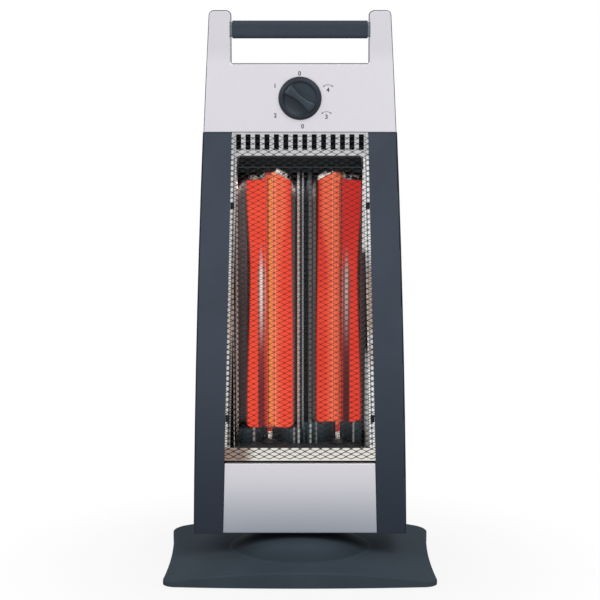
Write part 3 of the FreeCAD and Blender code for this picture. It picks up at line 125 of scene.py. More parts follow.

# Painted reflection and shade on the bare reflector: heights and places across where each starts and is full,
# and a middle
LEFT_WALL = (-52.0 * MM, -55.0 * MM)
COOL_MIDDLE = 7.0 * MM
WALL_BROWN_LOW = (0.38, 0.28)
WALL_BROWN_HIGH = (0.415, 0.425)
HEM_BRIGHT_SIDE = (70.0 * MM, 72.0 * MM)
HEM_BRIGHT_LOW = (0.252, 0.238)
HEM_BRIGHT_HIGH = (0.352, 0.362)
END_SHADE_LOW = (0.160, 0.155)
END_SHADE_HIGH = (0.437, 0.441)

# Tones of the carbon strips and the caps, and the caps' painted glow; four heights also say where a tone
# starts to fade and ends
STRIP_END_LOW = (0.166, 0.156)
STRIP_END_HIGH = (0.431, 0.438)
LOWER_NECK = (0.1452, 0.1466, 0.1555, 0.157)
UPPER_NECK = (0.429, 0.431, 0.4385, 0.4405)
UPPER_GLOW_REDDENS = (0.433, 0.4395)

# The window frame: its sill, insets of its strips and their fold from the rail, and heights of its tones and
# painted shade
SILL_TOP = 0.14
SILL_SHADE = (-46.0 * MM, -64.0 * MM)
FRAME_STRIP = (9.0 * MM, 8.0 * MM)
STRIP_INNER = (2.0 * MM, 3.2 * MM)
FRAME_FOLD = 3.4 * MM
HEAT_TINT = (0.2, 0.29, 0.3, 0.36)
SHADE_LEFT = (0.44, 0.3)
SHADE_RIGHT = (0.22, 0.26, 0.33, 0.37)
VENT_SHADE = (0.455, 0.46)
VENT_LIP_SHADE = (0.45, 0.4545, 0.4584, 0.4592)

# Heights of painted shade: dark plastic deepens towards the floor and paint towards the tops of the posts
FOOT_SHADE = (0.3, 0.05)
POST_SHADE = (0.553, 0.575)

# Upright lines of painted highlight in the reflector: place and half width in mm, and how strongly they show
MIDDLE_CREASES = ((-1.7, 1.2, 1.0), (3.0, 0.8, 0.9), (11.0, 1.7, 0.17))
FOOT_HIGHLIGHTS = ((-50.8, 1.2, 0.6), (-6.4, 0.9, 0.6), (-1.5, 1.1, 0.9), (11.6, 1.0, 0.8), (18.0, 0.7, 0.4),
              (59.0, 0.9, 0.6))

# Radius where the dome of the base rises from the plate, and how far painted shade reaches in and out from
# there
DOME_FOOT = 75.0 * MM
CREASE_SHADE_IN, CREASE_SHADE_OUT = 26.0 * MM, 3.0 * MM


def linear(red, green, blue):
    """An sRGB colour, 0 to 255, as the linear colour that shaders take."""
    def channel(value):
        value /= 255
        return value / 12.92 if value <= 0.04045 else ((value + 0.055) / 1.055) ** 2.4
    return (channel(red), channel(green), channel(blue), 1.0)


def shade(colour, amount):
    """The same colour, lighter or darker."""
    return tuple(min(1.0, channel * amount) for channel in colour[:3]) + (1.0,)


class Nodes:
    """Short calls that make and link the nodes of one tree."""

    def __init__(self, tree):
        self.tree = tree

    def feed(self, target, value):
        """Links a socket, or sets a constant on it."""
        if isinstance(value, bpy.types.NodeSocket):
            self.tree.links.new(value, target)
        else:
            target.default_value = value

    def node(self, kind, inputs=None, **settings):
        """A new node with its settings and inputs."""
        made = self.tree.nodes.new("ShaderNode" + kind)
        for name, value in settings.items():
            setattr(made, name, value)
        for key, value in (inputs or {}).items():
            self.feed(made.inputs[key], value)
        return made

    def math(self, operation, first, second=0.0, clamp=False):
        return self.node("Math", {0: first, 1: second}, operation=operation, use_clamp=clamp).outputs[0]

    def times(self, first, *others):
        """Product of the values."""
        for other in others:
            first = self.math("MULTIPLY", first, other)
        return first

    def most(self, first, *others):
        """The largest of the values."""
        for other in others:
            first = self.math("MAXIMUM", first, other)
        return first

    def minus(self, first, second):
        return self.math("SUBTRACT", first, second)

    def away(self, value, place):
        """Distance of a value from a place."""
        return self.math("ABSOLUTE", self.minus(value, place))

    def span(self, value, start, end, low=0.0, high=1.0, smooth=True):
        """Value from low at start to high at end."""
        kind = "SMOOTHSTEP" if smooth else "LINEAR"
        made = self.node("MapRange", {0: value, 1: start, 2: end, 3: low, 4: high}, interpolation_type=kind)
        return made.outputs[0]

    def pick(self, choice, first, second):
        """The first value where choice is 0, the second where it is 1."""
        return self.span(choice, 0.0, 1.0, first, second, smooth=False)

    def between(self, value, start, full, fading, end):
        """Rises from 0 at start to 1 at full, and falls from 1 at fading to 0 at end."""
        return self.times(self.span(value, start, full), self.span(value, end, fading))

    def line(self, value, place, outer, inner, share=1.0):
        """The share within the inner distance of a place, 0 from the outer distance on."""
        return self.span(self.away(value, place), outer, inner, 0.0, share)

    def length(self, first, second):
        """Length of a flat vector."""
        flat = self.node("CombineXYZ", {0: first, 1: second}).outputs[0]
        return self.node("VectorMath", {0: flat}, operation="LENGTH").outputs["Value"]


class Finish(Nodes):
    """A node material built around one Principled shader."""

    def __init__(self, name, **values):
        self.material = bpy.data.materials.new(name)
        self.material.use_nodes = True
        super().__init__(self.material.node_tree)
        self.shader = self.tree.nodes["Principled BSDF"]
        for socket, value in values.items():
            self.set(socket.replace("_", " "), value)

    def set(self, socket, value):
        self.feed(self.shader.inputs[socket], value)

    def place(self, stretch=None):
        """Rest position in metres, the same in every pose."""
        where = self.node("TexCoord").outputs["Object"]
        if stretch is None:
            return where
        return self.node("Mapping", {"Vector": where, "Scale": stretch}).outputs[0]

    def axes(self):
        """X, Y and Z of the rest position."""
        return self.node("SeparateXYZ", {0: self.place()}).outputs

    def noise(self, scale, detail=2.0, rough=0.5, stretch=None):
        inputs = {"Vector": self.place(stretch), "Scale": scale, "Detail": detail, "Roughness": rough}
        return self.node("TexNoise", inputs).outputs["Fac"]

    def blend(self, factor, first, second):
        """Colour between two."""
        return self.node("Mix", {0: factor, 6: first, 7: second}, data_type="RGBA").outputs[2]

    def edges(self, radius):
        """1 along edges and creases, 0 on flats."""
        soft = self.node("Bevel", {"Radius": radius}, samples=4).outputs[0]
        flat = self.node("NewGeometry").outputs["Normal"]
        along = self.node("VectorMath", {0: soft, 1: flat}, operation="DOT_PRODUCT").outputs["Value"]
        return self.span(along, 0.995, 0.86)

    def rounded_side(self):
        """1 where an upright edge turns from front to side, 0 on the flats."""
        normal = self.node("NewGeometry").outputs["Normal"]
        turned = self.node("VectorTransform", {0: normal}, vector_type="NORMAL",
                           convert_from="WORLD", convert_to="OBJECT").outputs[0]
        sideways = self.math("ABSOLUTE", self.node("SeparateXYZ", {0: turned}).outputs[0])
        return self.between(sideways, 0.15, 0.45, 0.95, 0.99)

    def bump(self, height, strength, distance, soft=None):
        """Relief from a height; soft is the radius by which edges look broken."""
        inputs = {"Height": height, "Strength": strength, "Distance": distance}
        if soft:
            inputs["Normal"] = self.node("Bevel", {"Radius": soft}, samples=4).outputs[0]
        self.set("Normal", self.node("Bump", inputs).outputs[0])


# Materials
def moulded_plastic(name, colour, rough, grain=1900.0, depth=0.05 * MM, wear=1.5, gloss=0.1,
                    foot=None, rim=None, dome=None):
    """Satin moulded plastic: fine spark grain, faint blotches and edges of another tone, lighter as wear and
    darker as painted shade.

    foot is the colour of painted shade towards the floor, rim that of painted shade on rounded upright
    edges, and dome the radius of a crease with painted shade around it.
    """
    made = Finish(name, Specular_IOR_Level=gloss)
    blotch = made.noise(16.0, 3.0, 0.6)
    grains = made.noise(grain, 2.0, 0.6)
    body = made.blend(made.span(blotch, 0.3, 0.7), shade(colour, 0.93), shade(colour, 1.07))
    tone = made.blend(made.span(grains, 0.35, 0.75, 0.0, 0.35), body, shade(colour, 1.2))
    # Painted shade: darker towards the floor
    if foot:
        tone = made.blend(made.span(made.axes()[2], *FOOT_SHADE), tone, foot)
    # Painted shade where upright edges round away to the side
    if rim:
        tone = made.blend(made.rounded_side(), tone, rim)
    # Painted shade in the crease around the dome
    if dome:
        x, y, _ = made.axes()
        crease_shade = made.between(made.length(x, y), dome - CREASE_SHADE_IN, dome, dome, dome + CREASE_SHADE_OUT)
        tone = made.blend(made.times(crease_shade, 0.6), tone, shade(colour, 0.55))
    # Edges and creases: lighter as wear where wear is above 1, darker as painted shade where it is below
    worn = made.times(made.edges(0.7 * MM), made.span(made.noise(90.0, 4.0), 0.35, 0.7, 0.25, 0.8))
    made.set("Base Color", made.blend(worn, tone, shade(colour, wear)))
    made.set("Roughness", made.span(blotch, 0.25, 0.75, rough - 0.05, rough + 0.06))
    made.bump(grains, 0.6, depth, 0.6 * MM)
    return made.material


def knob_plastic(name, dish, rim):
    """Smooth plastic with a fine grain, painted shade on the sloping rim, paler in patches on the front of
    the grip.
    """
    made = Finish(name, Specular_IOR_Level=0.25)
    x, y, z = made.axes()
    away = made.length(made.minus(x, KNOB_X), made.minus(z, KNOB_Z))
    grip_front = KNOB[0][1]
    grains = made.noise(2600.0, 2.0, 0.6)
    # Painted shade: the sloping rim darker than the dish
    tone = made.blend(made.span(away, 16.0 * MM, 19.5 * MM), dish, rim)
    grip_face = made.span(y, grip_front + 3.0 * MM, grip_front)
    paler_patches = made.times(grip_face, made.span(made.noise(60.0), 0.3, 0.7))
    tone = made.blend(paler_patches, tone, shade(dish, 1.3))
    made.set("Base Color", made.blend(made.span(grains, 0.35, 0.75, 0.0, 0.3), tone, shade(dish, 1.15)))
    made.set("Roughness", made.span(made.noise(40.0, 3.0), 0.3, 0.7, 0.36, 0.5))
    made.bump(grains, 0.5, 0.03 * MM, 0.6 * MM)
    return made.material


def silver_paint(name, colour):
    """Metallic paint: flakes of slightly different grey, faint orange peel, thin paint on the edges, and
    painted shade down the lower panel and up the posts.
    """
    made = Finish(name, Metallic=0.85, Coat_Weight=0.25, Coat_Roughness=0.2)
    height = made.axes()[2]
    flakes = made.node("TexVoronoi", {"Vector": made.place(), "Scale": 2600.0}).outputs["Color"]
    flake = made.node("SeparateColor", {0: flakes}).outputs[0]
    body = made.blend(flake, shade(colour, 0.96), shade(colour, 1.04))
    tone = made.blend(made.span(made.noise(9.0, 3.0, 0.55), 0.3, 0.7, 0.0, 0.5), body, shade(colour, 0.97))

    # Painted shade: darker down the lower panel and up the posts
    panel_shade = made.span(height, LOWER_PANEL[1][2], LOWER_PANEL[0][2])
    tone = made.blend(panel_shade, tone, linear(164, 169, 180))
    tone = made.blend(made.span(height, *POST_SHADE, 0.0, 0.6), tone, shade(colour, 0.84))
    thin = made.times(made.edges(0.6 * MM), made.span(made.noise(70.0, 4.0), 0.35, 0.7, 0.1, 0.5))
    made.set("Base Color", made.blend(thin, tone, shade(colour, 0.72)))
    made.set("Roughness", made.span(flake, 0.0, 1.0, 0.32, 0.42, smooth=False))
    made.bump(made.noise(420.0, 2.0, 0.5), 0.2, 0.03 * MM, 1.0 * MM)
    return made.material


def plain_metal(name, colour, rough):
    """Bare or plated metal with fine lines, stains and a few dull patches."""
    made = Finish(name, Metallic=1.0)
    lines = made.noise(900.0, 3.0, 0.6)
    stains = made.noise(35.0, 4.0, 0.6)
    body = made.blend(lines, shade(colour, 0.9), shade(colour, 1.06))
    made.set("Base Color", made.blend(made.span(stains, 0.45, 0.75, 0.0, 0.48), body, shade(colour, 0.7)))
    made.set("Roughness", made.span(stains, 0.3, 0.7, rough, rough + 0.14))
    made.bump(lines, 0.15, 0.03 * MM)
    return made.material


def bright_sheet(name):
    """Bright window frame: rolled sheet, tinted by heat beside the tubes, with a sill, and painted shade on
    its strips, its sill and under the vents.
    """
    made = Finish(name, Metallic=1.0)
    x, _, z = made.axes()
    lines = made.noise(700.0, 3.0, 0.6, (1.0, 1.0, 0.04))
    blotch = made.noise(28.0, 3.0)
    body = made.blend(lines, linear(214, 216, 218), linear(250, 250, 249))
    tone = frame_strips(made, body, x, z, blotch)

    # Painted shade: brown at the left end of the sill, grey over the strip under the vents, and dark along
    # its lower edge
    sill = made.blend(made.span(x, *SILL_SHADE), linear(228, 225, 217), linear(150, 131, 120))
    tone = made.blend(made.span(z, SILL_TOP + 2 * MM, SILL_TOP - 2 * MM), tone, sill)
    tone = made.blend(made.span(z, *VENT_SHADE, 0.0, 0.75), tone, linear(186, 187, 190))
    inside = made.span(made.math("ABSOLUTE", x), WALL_HALF, WALL_HALF - 3 * MM)
    tone = made.blend(made.times(made.between(z, *VENT_LIP_SHADE), inside), tone, linear(66, 58, 60))

    tint = made.times(made.between(z, *HEAT_TINT), made.span(blotch, 0.35, 0.7, 0.1, 0.7))
    made.set("Base Color", made.blend(tint, tone, linear(198, 172, 154)))
    made.set("Roughness", made.span(made.noise(45.0, 3.0), 0.3, 0.7, 0.12, 0.3))
    made.bump(lines, 0.2, 0.04 * MM)
    return made.material


def frame_strips(made, body, x, z, blotch):
    """The frame's colour with folded strips beside the rails and painted shade on them: inward and lower down
    on the left, blotched on the right, and in the fold.
    """
    rail = made.span(z, RAIL_LOW, RAIL_HIGH, RAIL_HALF_LOW, RAIL_HALF_HIGH, smooth=False)
    inset = made.minus(rail, made.math("ABSOLUTE", x))
    strip = made.times(made.span(inset, *FRAME_STRIP), made.span(z, SILL_TOP - MM, SILL_TOP + MM))
    inner = made.times(strip, made.span(inset, *STRIP_INNER))
    # Painted shade on the strips
    shade_left = made.most(made.times(inner, made.span(z, *SHADE_LEFT, 0.45, 0.9)), made.times(strip, 0.25))
    shade_right = made.times(strip, made.between(z, *SHADE_RIGHT), made.span(blotch, 0.4, 0.6, 0.3, 0.8))
    dull = made.pick(made.math("LESS_THAN", x, 0.0), shade_right, shade_left)
    fold_shade = made.times(strip, made.line(inset, FRAME_FOLD, 1.0 * MM, 0.4 * MM, 0.7))
    return made.blend(fold_shade, made.blend(dull, body, linear(104, 92, 86)), linear(48, 42, 42))


def painted_glow_reflector(name):
    """Bright troughs with a painted glowing reflection of the strips, a slim gap in each, and painted shade
    above and below.
    """
    made = Finish(name)
    x, y, z = made.axes()
    on_right = made.math("GREATER_THAN", x, TUBE_MIDDLE)
    across = made.math("DIVIDE", made.minus(made.away(x, TUBE_MIDDLE), TUBE_SPREAD), TROUGH_HALF)
    top = glow_top(made, across)
    band = glow_band(made, across, on_right, z, top)
    red = red_glow(made, across, on_right, z)
    glow = gap_in_glow(made, red, across, on_right, z)
    glint = shoulder_glint(made, across, z, top)

    # Bare metal with painted reflection, shade and highlights: walls, hems and shaded ends
    lines = made.noise(420.0, 3.0, 0.6, (1.0, 1.0, 0.03))
    crease = upright_lines(made, x, MIDDLE_CREASES)
    hem = made.span(y, HEM_FRONT + 1.2 * MM, HEM_FRONT + 0.4 * MM)
    right_side = made.math("GREATER_THAN", x, 0.0)
    # Painted highlight on the right hem, high up and low down at its outer edge
    bright_low = made.times(made.span(z, *HEM_BRIGHT_LOW), made.span(x, *HEM_BRIGHT_SIDE))
    bright = made.times(made.most(made.span(z, *HEM_BRIGHT_HIGH), bright_low), right_side)
    # Painted highlight lines at the foot, and painted shade at both ends
    at_foot = made.span(made.minus(z, made.times(GLOW_FOOT_STEP, on_right)), *END_SHADE_LOW)
    foot_highlight = made.times(upright_lines(made, x, FOOT_HIGHLIGHTS), at_foot)
    ends = made.times(made.most(at_foot, made.span(z, *END_SHADE_HIGH)), made.minus(1.0, hem))
    walls = wall_colour(made, x, z, lines, crease)
    bare = made.blend(hem, walls, hem_colour(made, right_side, lines, bright))
    shaded_ends = made.blend(ends, bare, end_shade_colour(made, foot_highlight))
    # Painted highlights of the glints
    shining = made.blend(glint, shaded_ends, linear(244, 226, 216))
    made.set("Base Color", made.blend(band, shining, linear(26, 8, 7)))

    # Painted light of the reflected bands, the glints and the highlight lines at the foot
    sparkle = made.most(made.times(glint, 0.8), made.times(foot_highlight, 0.28))
    sparkles_more = made.math("GREATER_THAN", sparkle, band)
    made.set("Emission Color", made.blend(sparkles_more, glow, linear(246, 236, 230)))
    made.set("Emission Strength", made.most(band, sparkle))

    matt = made.most(glint, made.span(crease, 0.0, 0.15), ends, made.times(hem, bright))
    made.set("Metallic", made.span(matt, 0.0, 1.0, 1.0, 0.1))
    made.set("Roughness", made.span(made.noise(60.0, 3.0), 0.3, 0.7, 0.22, 0.36))
    made.bump(lines, 0.15, 0.04 * MM)
    return made.material


def glow_top(made, across):
    """Height of the glow's upper edge: it slopes on the inner side and steps down on the outer one."""
    inward = made.most(made.times(across, -1.0), 0.0)
    slope = made.times(GLOW_SCALLOP, made.math("POWER", inward, 1.4))
    shelf = made.span(across, 0.04, 0.36, 0.0, GLOW_SHELF)
    return made.minus(made.minus(GLOW_TOP, slope), shelf)


def glow_band(made, across, on_right, z, top):
    """1 where a trough shows the painted reflection of the glowing strip: waisted outside, round-cornered at
    the foot.
    """
    outward = made.math("ABSOLUTE", across)
    corner = made.times(GLOW_CORNER, made.math("POWER", outward, 6.0))
    foot = made.math("ADD", made.math("ADD", GLOW_FOOT, corner), made.times(GLOW_FOOT_STEP, on_right))
    below_top = made.span(made.minus(top, z), -0.6 * MM, 1.0 * MM)
    above_foot = made.span(made.minus(z, foot), -0.6 * MM, 1.0 * MM)
    outer = made.most(made.span(z, GLOW_WAIST, GLOW_SHOULDER, WAIST_REACH, FULL_REACH),
                      made.span(z, GLOW_WAIST, GLOW_HIP, WAIST_REACH, FULL_REACH))
    inner = made.math("ADD", made.span(z, *INNER_WIDENS, *INNER_REACH), made.pick(on_right, *INNER_SHIFT))
    reach = made.pick(made.math("LESS_THAN", across, 0.0), outer, inner)
    within = made.span(made.minus(reach, outward), -0.05, 0.06)
    return made.times(within, below_top, above_foot)


def red_glow(made, across, on_right, z):
    """Painted red reflection, deeper at the top right, with a painted shadow outside the right strip and a
    painted halo and line inside each strip.
    """
    red = made.blend(made.noise(30.0, 2.0), linear(229, 63, 48), linear(250, 89, 66))
    dim = made.times(on_right, made.span(across, -0.2, 0.3, 0.65, 1.0), made.span(z, *DIM_RED, 0.3, 0.75))
    red = made.blend(dim, red, linear(182, 32, 36))
    beside = made.line(across, SHADOW_PLACE, 0.15, 0.07)
    shadow = made.times(beside, on_right, made.span(z, *STRIP_SHADOW, 0.0, 0.95))
    red = made.blend(shadow, red, linear(142, 44, 38))
    halo_end = made.span(z, *HALO_GROWS, -0.62, -0.9)
    halo = made.between(across, halo_end, made.math("ADD", halo_end, 0.32), -0.12, -0.04)
    red = made.blend(made.times(halo, made.span(z, *HALO_GROWS, 0.4, 0.55)), red, linear(248, 128, 92))
    inner_line = made.times(made.line(across, INNER_LINE, 0.09, 0.03), made.pick(on_right, 0.6, 0.3))
    return made.blend(inner_line, red, linear(255, 176, 130))


def gap_in_glow(made, red, across, on_right, z):
    """The painted glow with its gap: grey with a pale core above, dimmer red towards the foot."""
    open_share = made.span(z, GAP_TIP, GAP_FULL, smooth=False)
    from_gap = made.away(across, GAP_MIDDLE)
    inside = made.minus(made.times(open_share, GAP_HALF), from_gap)
    gap = made.times(made.span(inside, -0.015, 0.025), open_share)
    gap_red_low = made.blend(on_right, linear(116, 50, 52), linear(82, 46, 46))
    gap_red_high = made.blend(on_right, linear(160, 66, 60), linear(118, 52, 52))
    gap_red = made.blend(made.span(z, *GAP_RED_CHANGES), gap_red_low, gap_red_high)
    core = made.span(from_gap, 0.1, 0.03)
    grey_left = made.blend(core, linear(160, 112, 104), linear(240, 214, 206))
    grey_right = made.blend(core, linear(122, 84, 82), linear(188, 158, 152))
    grey = made.blend(on_right, grey_left, grey_right)
    grey_there = made.times(gap, made.span(z, *GREY_GAP))
    return made.blend(gap, red, made.blend(grey_there, gap_red, grey))


def shoulder_glint(made, across, z, top):
    """Patchy glints just above each band, fainter on its outer side."""
    above = made.between(made.minus(z, top), -1.2 * MM, 0.6 * MM, 3.2 * MM, 6.2 * MM)
    flank = made.between(made.math("ABSOLUTE", across), 0.12, 0.3, 0.8, 0.98)
    patchy = made.span(made.noise(170.0, 2.0), 0.38, 0.52)
    return made.times(above, flank, made.span(across, -0.1, 0.1, 1.0, 0.35), patchy)


def wall_colour(made, x, z, lines, crease):
    """Dark painted reflection on the metal beside the troughs: cooler in the middle, painted shade in brown
    on the left wall, painted highlights on the creases.
    """
    warm = made.blend(lines, linear(60, 53, 53), linear(130, 116, 114))
    cool = made.blend(lines, linear(58, 64, 67), linear(124, 130, 133))
    dark = made.blend(made.line(x, COOL_MIDDLE, 9.0 * MM, 5.0 * MM), warm, cool)
    shaded = made.most(made.span(z, *WALL_BROWN_LOW), made.span(z, *WALL_BROWN_HIGH))
    left_wall = made.times(made.span(x, *LEFT_WALL), shaded, 0.5)
    browned = made.blend(left_wall, dark, linear(44, 24, 24))
    return made.blend(crease, browned, linear(250, 246, 244))


def hem_colour(made, right_side, lines, bright):
    """The reflector's hems in painted reflection: brownish on the left, dark on the right with a painted
    highlight at some heights.
    """
    left = made.blend(lines, linear(116, 96, 90), linear(190, 164, 156))
    right = made.blend(bright, linear(70, 62, 62), linear(250, 250, 248))
    return made.blend(right_side, left, right)


def end_shade_colour(made, foot_highlight):
    """Painted shade at the ends of the troughs: dull teal-grey with painted highlights in streaks, and pale
    highlight lines at the foot.
    """
    highlight_streak = made.span(made.noise(300.0, 3.0, 0.6, (1.0, 1.0, 0.05)), 0.56, 0.72, 0.0, 0.4)
    mottle = made.blend(highlight_streak, linear(104, 126, 134), linear(190, 194, 194))
    return made.blend(foot_highlight, mottle, linear(222, 222, 220))


def upright_lines(made, x, rows):
    """The share of each upright line along it, 0 beside the lines; see MIDDLE_CREASES for the rows."""
    lines = [made.line(x, place * MM, half * 1.3 * MM, half * 0.7 * MM, share) for place, half, share in rows]
    return made.most(*lines)


def glowing_carbon(name):
    """Carbon strip glowing orange, yellower on the left, deep red on its outer side and at its ends."""
    made = Finish(name, Roughness=0.6, Base_Color=linear(60, 24, 16))
    x, _, z = made.axes()
    weave = made.noise(700.0, 2.0, 0.5, (1.0, 1.0, 0.35))
    left = made.blend(weave, linear(236, 120, 46), linear(248, 148, 70))
    right = made.blend(weave, linear(222, 77, 42), linear(236, 97, 54))
    glow = made.blend(made.math("GREATER_THAN", x, TUBE_MIDDLE), left, right)
    outward = made.minus(made.away(x, TUBE_MIDDLE), TUBE_SPREAD)
    glow = made.blend(made.span(outward, 0.4 * MM, 1.2 * MM), glow, linear(158, 62, 42))
    ends = made.most(made.span(z, *STRIP_END_LOW), made.span(z, *STRIP_END_HIGH))
    made.set("Emission Color", made.blend(ends, glow, linear(168, 30, 28)))
    made.set("Emission Strength", made.span(ends, 0.0, 1.0, 1.0, 0.8))
    made.bump(weave, 0.3, 0.05 * MM)
    return made.material


def quartz_glass(name):
    """Clear tube, faintly milky along its length."""
    made = Finish(name, IOR=1.2, Transmission_Weight=1.0, Roughness=0.0)
    haze = made.noise(180.0, 3.0, 0.6, (1.0, 1.0, 0.04))
    made.set("Base Color", made.blend(haze, (0.93, 0.9, 0.88, 1.0), (1.0, 1.0, 1.0, 1.0)))
    return made.material


def ceramic_cap(name):
    """Unglazed ceramic: painted shade on the collars in the brackets, pale on the lower necks, painted glow
    on the upper ones.
    """
    made = Finish(name, Roughness=0.75)
    z = made.axes()[2]
    mottle = made.noise(120.0, 4.0, 0.65)
    # Painted shade: the collars dark in the brackets, in patches
    collar = made.blend(made.span(mottle, 0.42, 0.7), linear(22, 25, 27), linear(70, 70, 68))
    lower_neck = made.between(z, *LOWER_NECK)
    made.set("Base Color", made.blend(lower_neck, collar, linear(232, 222, 214)))
    # Painted glow on the upper necks, redder higher up
    glow = made.blend(made.span(z, *UPPER_GLOW_REDDENS), linear(226, 104, 56), linear(150, 64, 52))
    made.set("Emission Color", glow)
    made.set("Emission Strength", made.between(z, *UPPER_NECK))
    made.bump(made.noise(1500.0, 3.0), 0.4, 0.06 * MM)
    return made.material


def black_mesh(name):
    """Black enamel on expanded steel, a little glossy, chipped in places."""
    made = Finish(name, IOR=1.5)
    chips = made.noise(260.0, 4.0, 0.65)
    body = made.blend(made.noise(60.0, 3.0), linear(20, 21, 24), linear(38, 40, 44))
    made.set("Base Color", made.blend(made.span(chips, 0.66, 0.78, 0.0, 0.5), body, linear(96, 96, 98)))
    made.set("Roughness", made.span(chips, 0.3, 0.7, 0.3, 0.5))
    made.bump(chips, 0.3, 0.05 * MM)
    return made.material


def soft_rubber(name):
    """Matt rubber with fine scuffs."""
    made = Finish(name, Roughness=0.85)
    scuffs = made.noise(380.0, 4.0, 0.65)
    made.set("Base Color", made.blend(scuffs, linear(24, 24, 26), linear(54, 54, 56)))
    made.bump(scuffs, 0.5, 0.1 * MM)
    return made.material


def ink(name):
    """Dark screen print, a little worn."""
    made = Finish(name, Roughness=0.55)
    wear = made.span(made.noise(700.0, 3.0), 0.4, 0.75)
    made.set("Base Color", made.blend(wear, linear(48, 48, 54), linear(104, 102, 108)))
    return made.material


SLATE = linear(71, 79, 91)
# Colours of painted shade on the plastic: towards the floor and on rounded upright edges
SLATE_FOOT_SHADE = linear(52, 60, 72)
SLATE_EDGE_SHADE = linear(30, 35, 45)

# One finish for each material slot of the record
FINISHES = {
    "dark_plastic": moulded_plastic("slate_plastic", SLATE, 0.46, foot=SLATE_FOOT_SHADE),
    # The knob's dish colour, and its rim colour darkened as painted shade
    "knob_plastic": knob_plastic("knob_plastic", linear(50, 60, 70), linear(35, 41, 51)),
    "silver_paint": silver_paint("silver_paint", linear(216, 214, 220)),
    "collar_silver": silver_paint("collar_paint", linear(118, 124, 134)),
    "mesh_metal": black_mesh("black_mesh"),
    "reflector_metal": bright_sheet("bright_sheet"),
    "plated_steel": plain_metal("zinc_plate", linear(186, 186, 182), 0.28),
    "screw_steel": plain_metal("screw_steel", linear(170, 170, 168), 0.25),
    "black_steel": moulded_plastic("black_steel", linear(64, 70, 73), 0.5),
    "quartz": quartz_glass("quartz_glass"),
    "carbon": glowing_carbon("glowing_carbon"),
    "ceramic": ceramic_cap("ceramic_cap"),
    "rubber": soft_rubber("soft_rubber"),
    "nylon": moulded_plastic("nylon", linear(206, 202, 190), 0.5),
    "switch_plastic": moulded_plastic("switch_plastic", linear(32, 33, 36), 0.45),
}

# Finishes of single pieces
# The reflector, with its painted glow, shade and highlights
REFLECTOR_PAINTED_GLOW = painted_glow_reflector("reflector_painted_glow")
# The base: painted shade around its dome and, through a wear below 1, on its edges and creases
BASE_PLASTIC = moulded_plastic("base_plastic", linear(66, 76, 85), 0.4, grain=1500.0, depth=0.06 * MM,
                               wear=0.75, gloss=0.002, dome=DOME_FOOT)
HANDLE_PLASTIC = moulded_plastic("handle_plastic", linear(61, 69, 80), 0.46)
# The rails: painted shade towards the floor, on their rounded upright edges and on their edges
RAIL_PLASTIC = moulded_plastic("rail_plastic", SLATE, 0.46, wear=0.8, foot=SLATE_FOOT_SHADE, rim=SLATE_EDGE_SHADE)
PRINT = ink("dial_print")
OWN_FINISHES = {
    "base_cover": BASE_PLASTIC,
    "handle_bar": HANDLE_PLASTIC,
    "left_rail": RAIL_PLASTIC,
    "right_rail": RAIL_PLASTIC,
    "guard_clips": FINISHES["switch_plastic"],
}


def dress_solids():
    """Gives every solid its own finish or that of its slot."""
    slots = {row["node"]: row["material_slot"] for row in frame["record"]["subparts"]}
    for name, node in cad_nodes.items():
        node.data.materials.clear()
        node.data.materials.append(OWN_FINISHES.get(name, FINISHES[slots[name]]))


# Pieces
def add_piece(name, verts, faces, body, finish, node=None, smooth=None):
    """A mesh in the shared frame that rides on a body and may stand for a solid."""
    mesh = bpy.data.meshes.new(name)
    mesh.from_pydata(verts, [], faces)
    mesh.validate()
    sides = bmesh.new()
    sides.from_mesh(mesh)
    bmesh.ops.recalc_face_normals(sides, faces=sides.faces)
    sides.to_mesh(mesh)
    sides.free()
    if smooth is not None:
        mesh.shade_smooth()
        mesh.set_sharp_from_angle(angle=math.radians(smooth))
    mesh.materials.append(finish)
    item = bpy.data.objects.new(name, mesh)
    bpy.context.scene.collection.objects.link(item)
    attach(item, body)
    if node:
        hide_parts(node)
    return item


def loft(rings, closed=True):
    """Points and faces of a skin over rings of equally many points; closed rings also get end faces."""
    count = len(rings[0])
    verts = [point for ring in rings for point in ring]
    faces = []
    for low in range(0, len(verts) - count, count):
        for step in range(count if closed else count - 1):
            following = (step + 1) % count
            faces.append((low + step, low + following, low + count + following, low + count + step))
    if closed:
        faces.append(tuple(range(count)))
        faces.append(tuple(range(len(verts) - count, len(verts))))
    return verts, faces


def joined(shapes):
    """Several shapes as one list of points and one of faces."""
    verts, faces = [], []
    for points, sides in shapes:
        start = len(verts)
        verts += points
        faces += [tuple(start + corner for corner in side) for side in sides]
    return verts, faces


def turned(profile, steps):
    """Rings of (across, along, around) offsets from a profile of radius and length in mm."""
    angles = [2 * math.pi * step / steps for step in range(steps)]
    return [[(radius * MM * math.cos(angle), along * MM, radius * MM * math.sin(angle)) for angle in angles]
            for radius, along in profile]


def window_half(z):
    """Half width between the rails at a height."""
    return RAIL_HALF_LOW + (RAIL_HALF_HIGH - RAIL_HALF_LOW) * (z - RAIL_LOW) / (RAIL_HIGH - RAIL_LOW)


def strand_section(x, z, half):
    """Four corners of a mesh strand, which leans as in expanded metal."""
    thick, lean = 0.5 * MM, 0.22 * MM
    front, back = GUARD_MIDDLE - thick / 2, GUARD_MIDDLE + thick / 2
    return [(x, front - lean, z + half), (x, back - lean, z + half),
            (x, back + lean, z - half), (x, front + lean, z - half)]


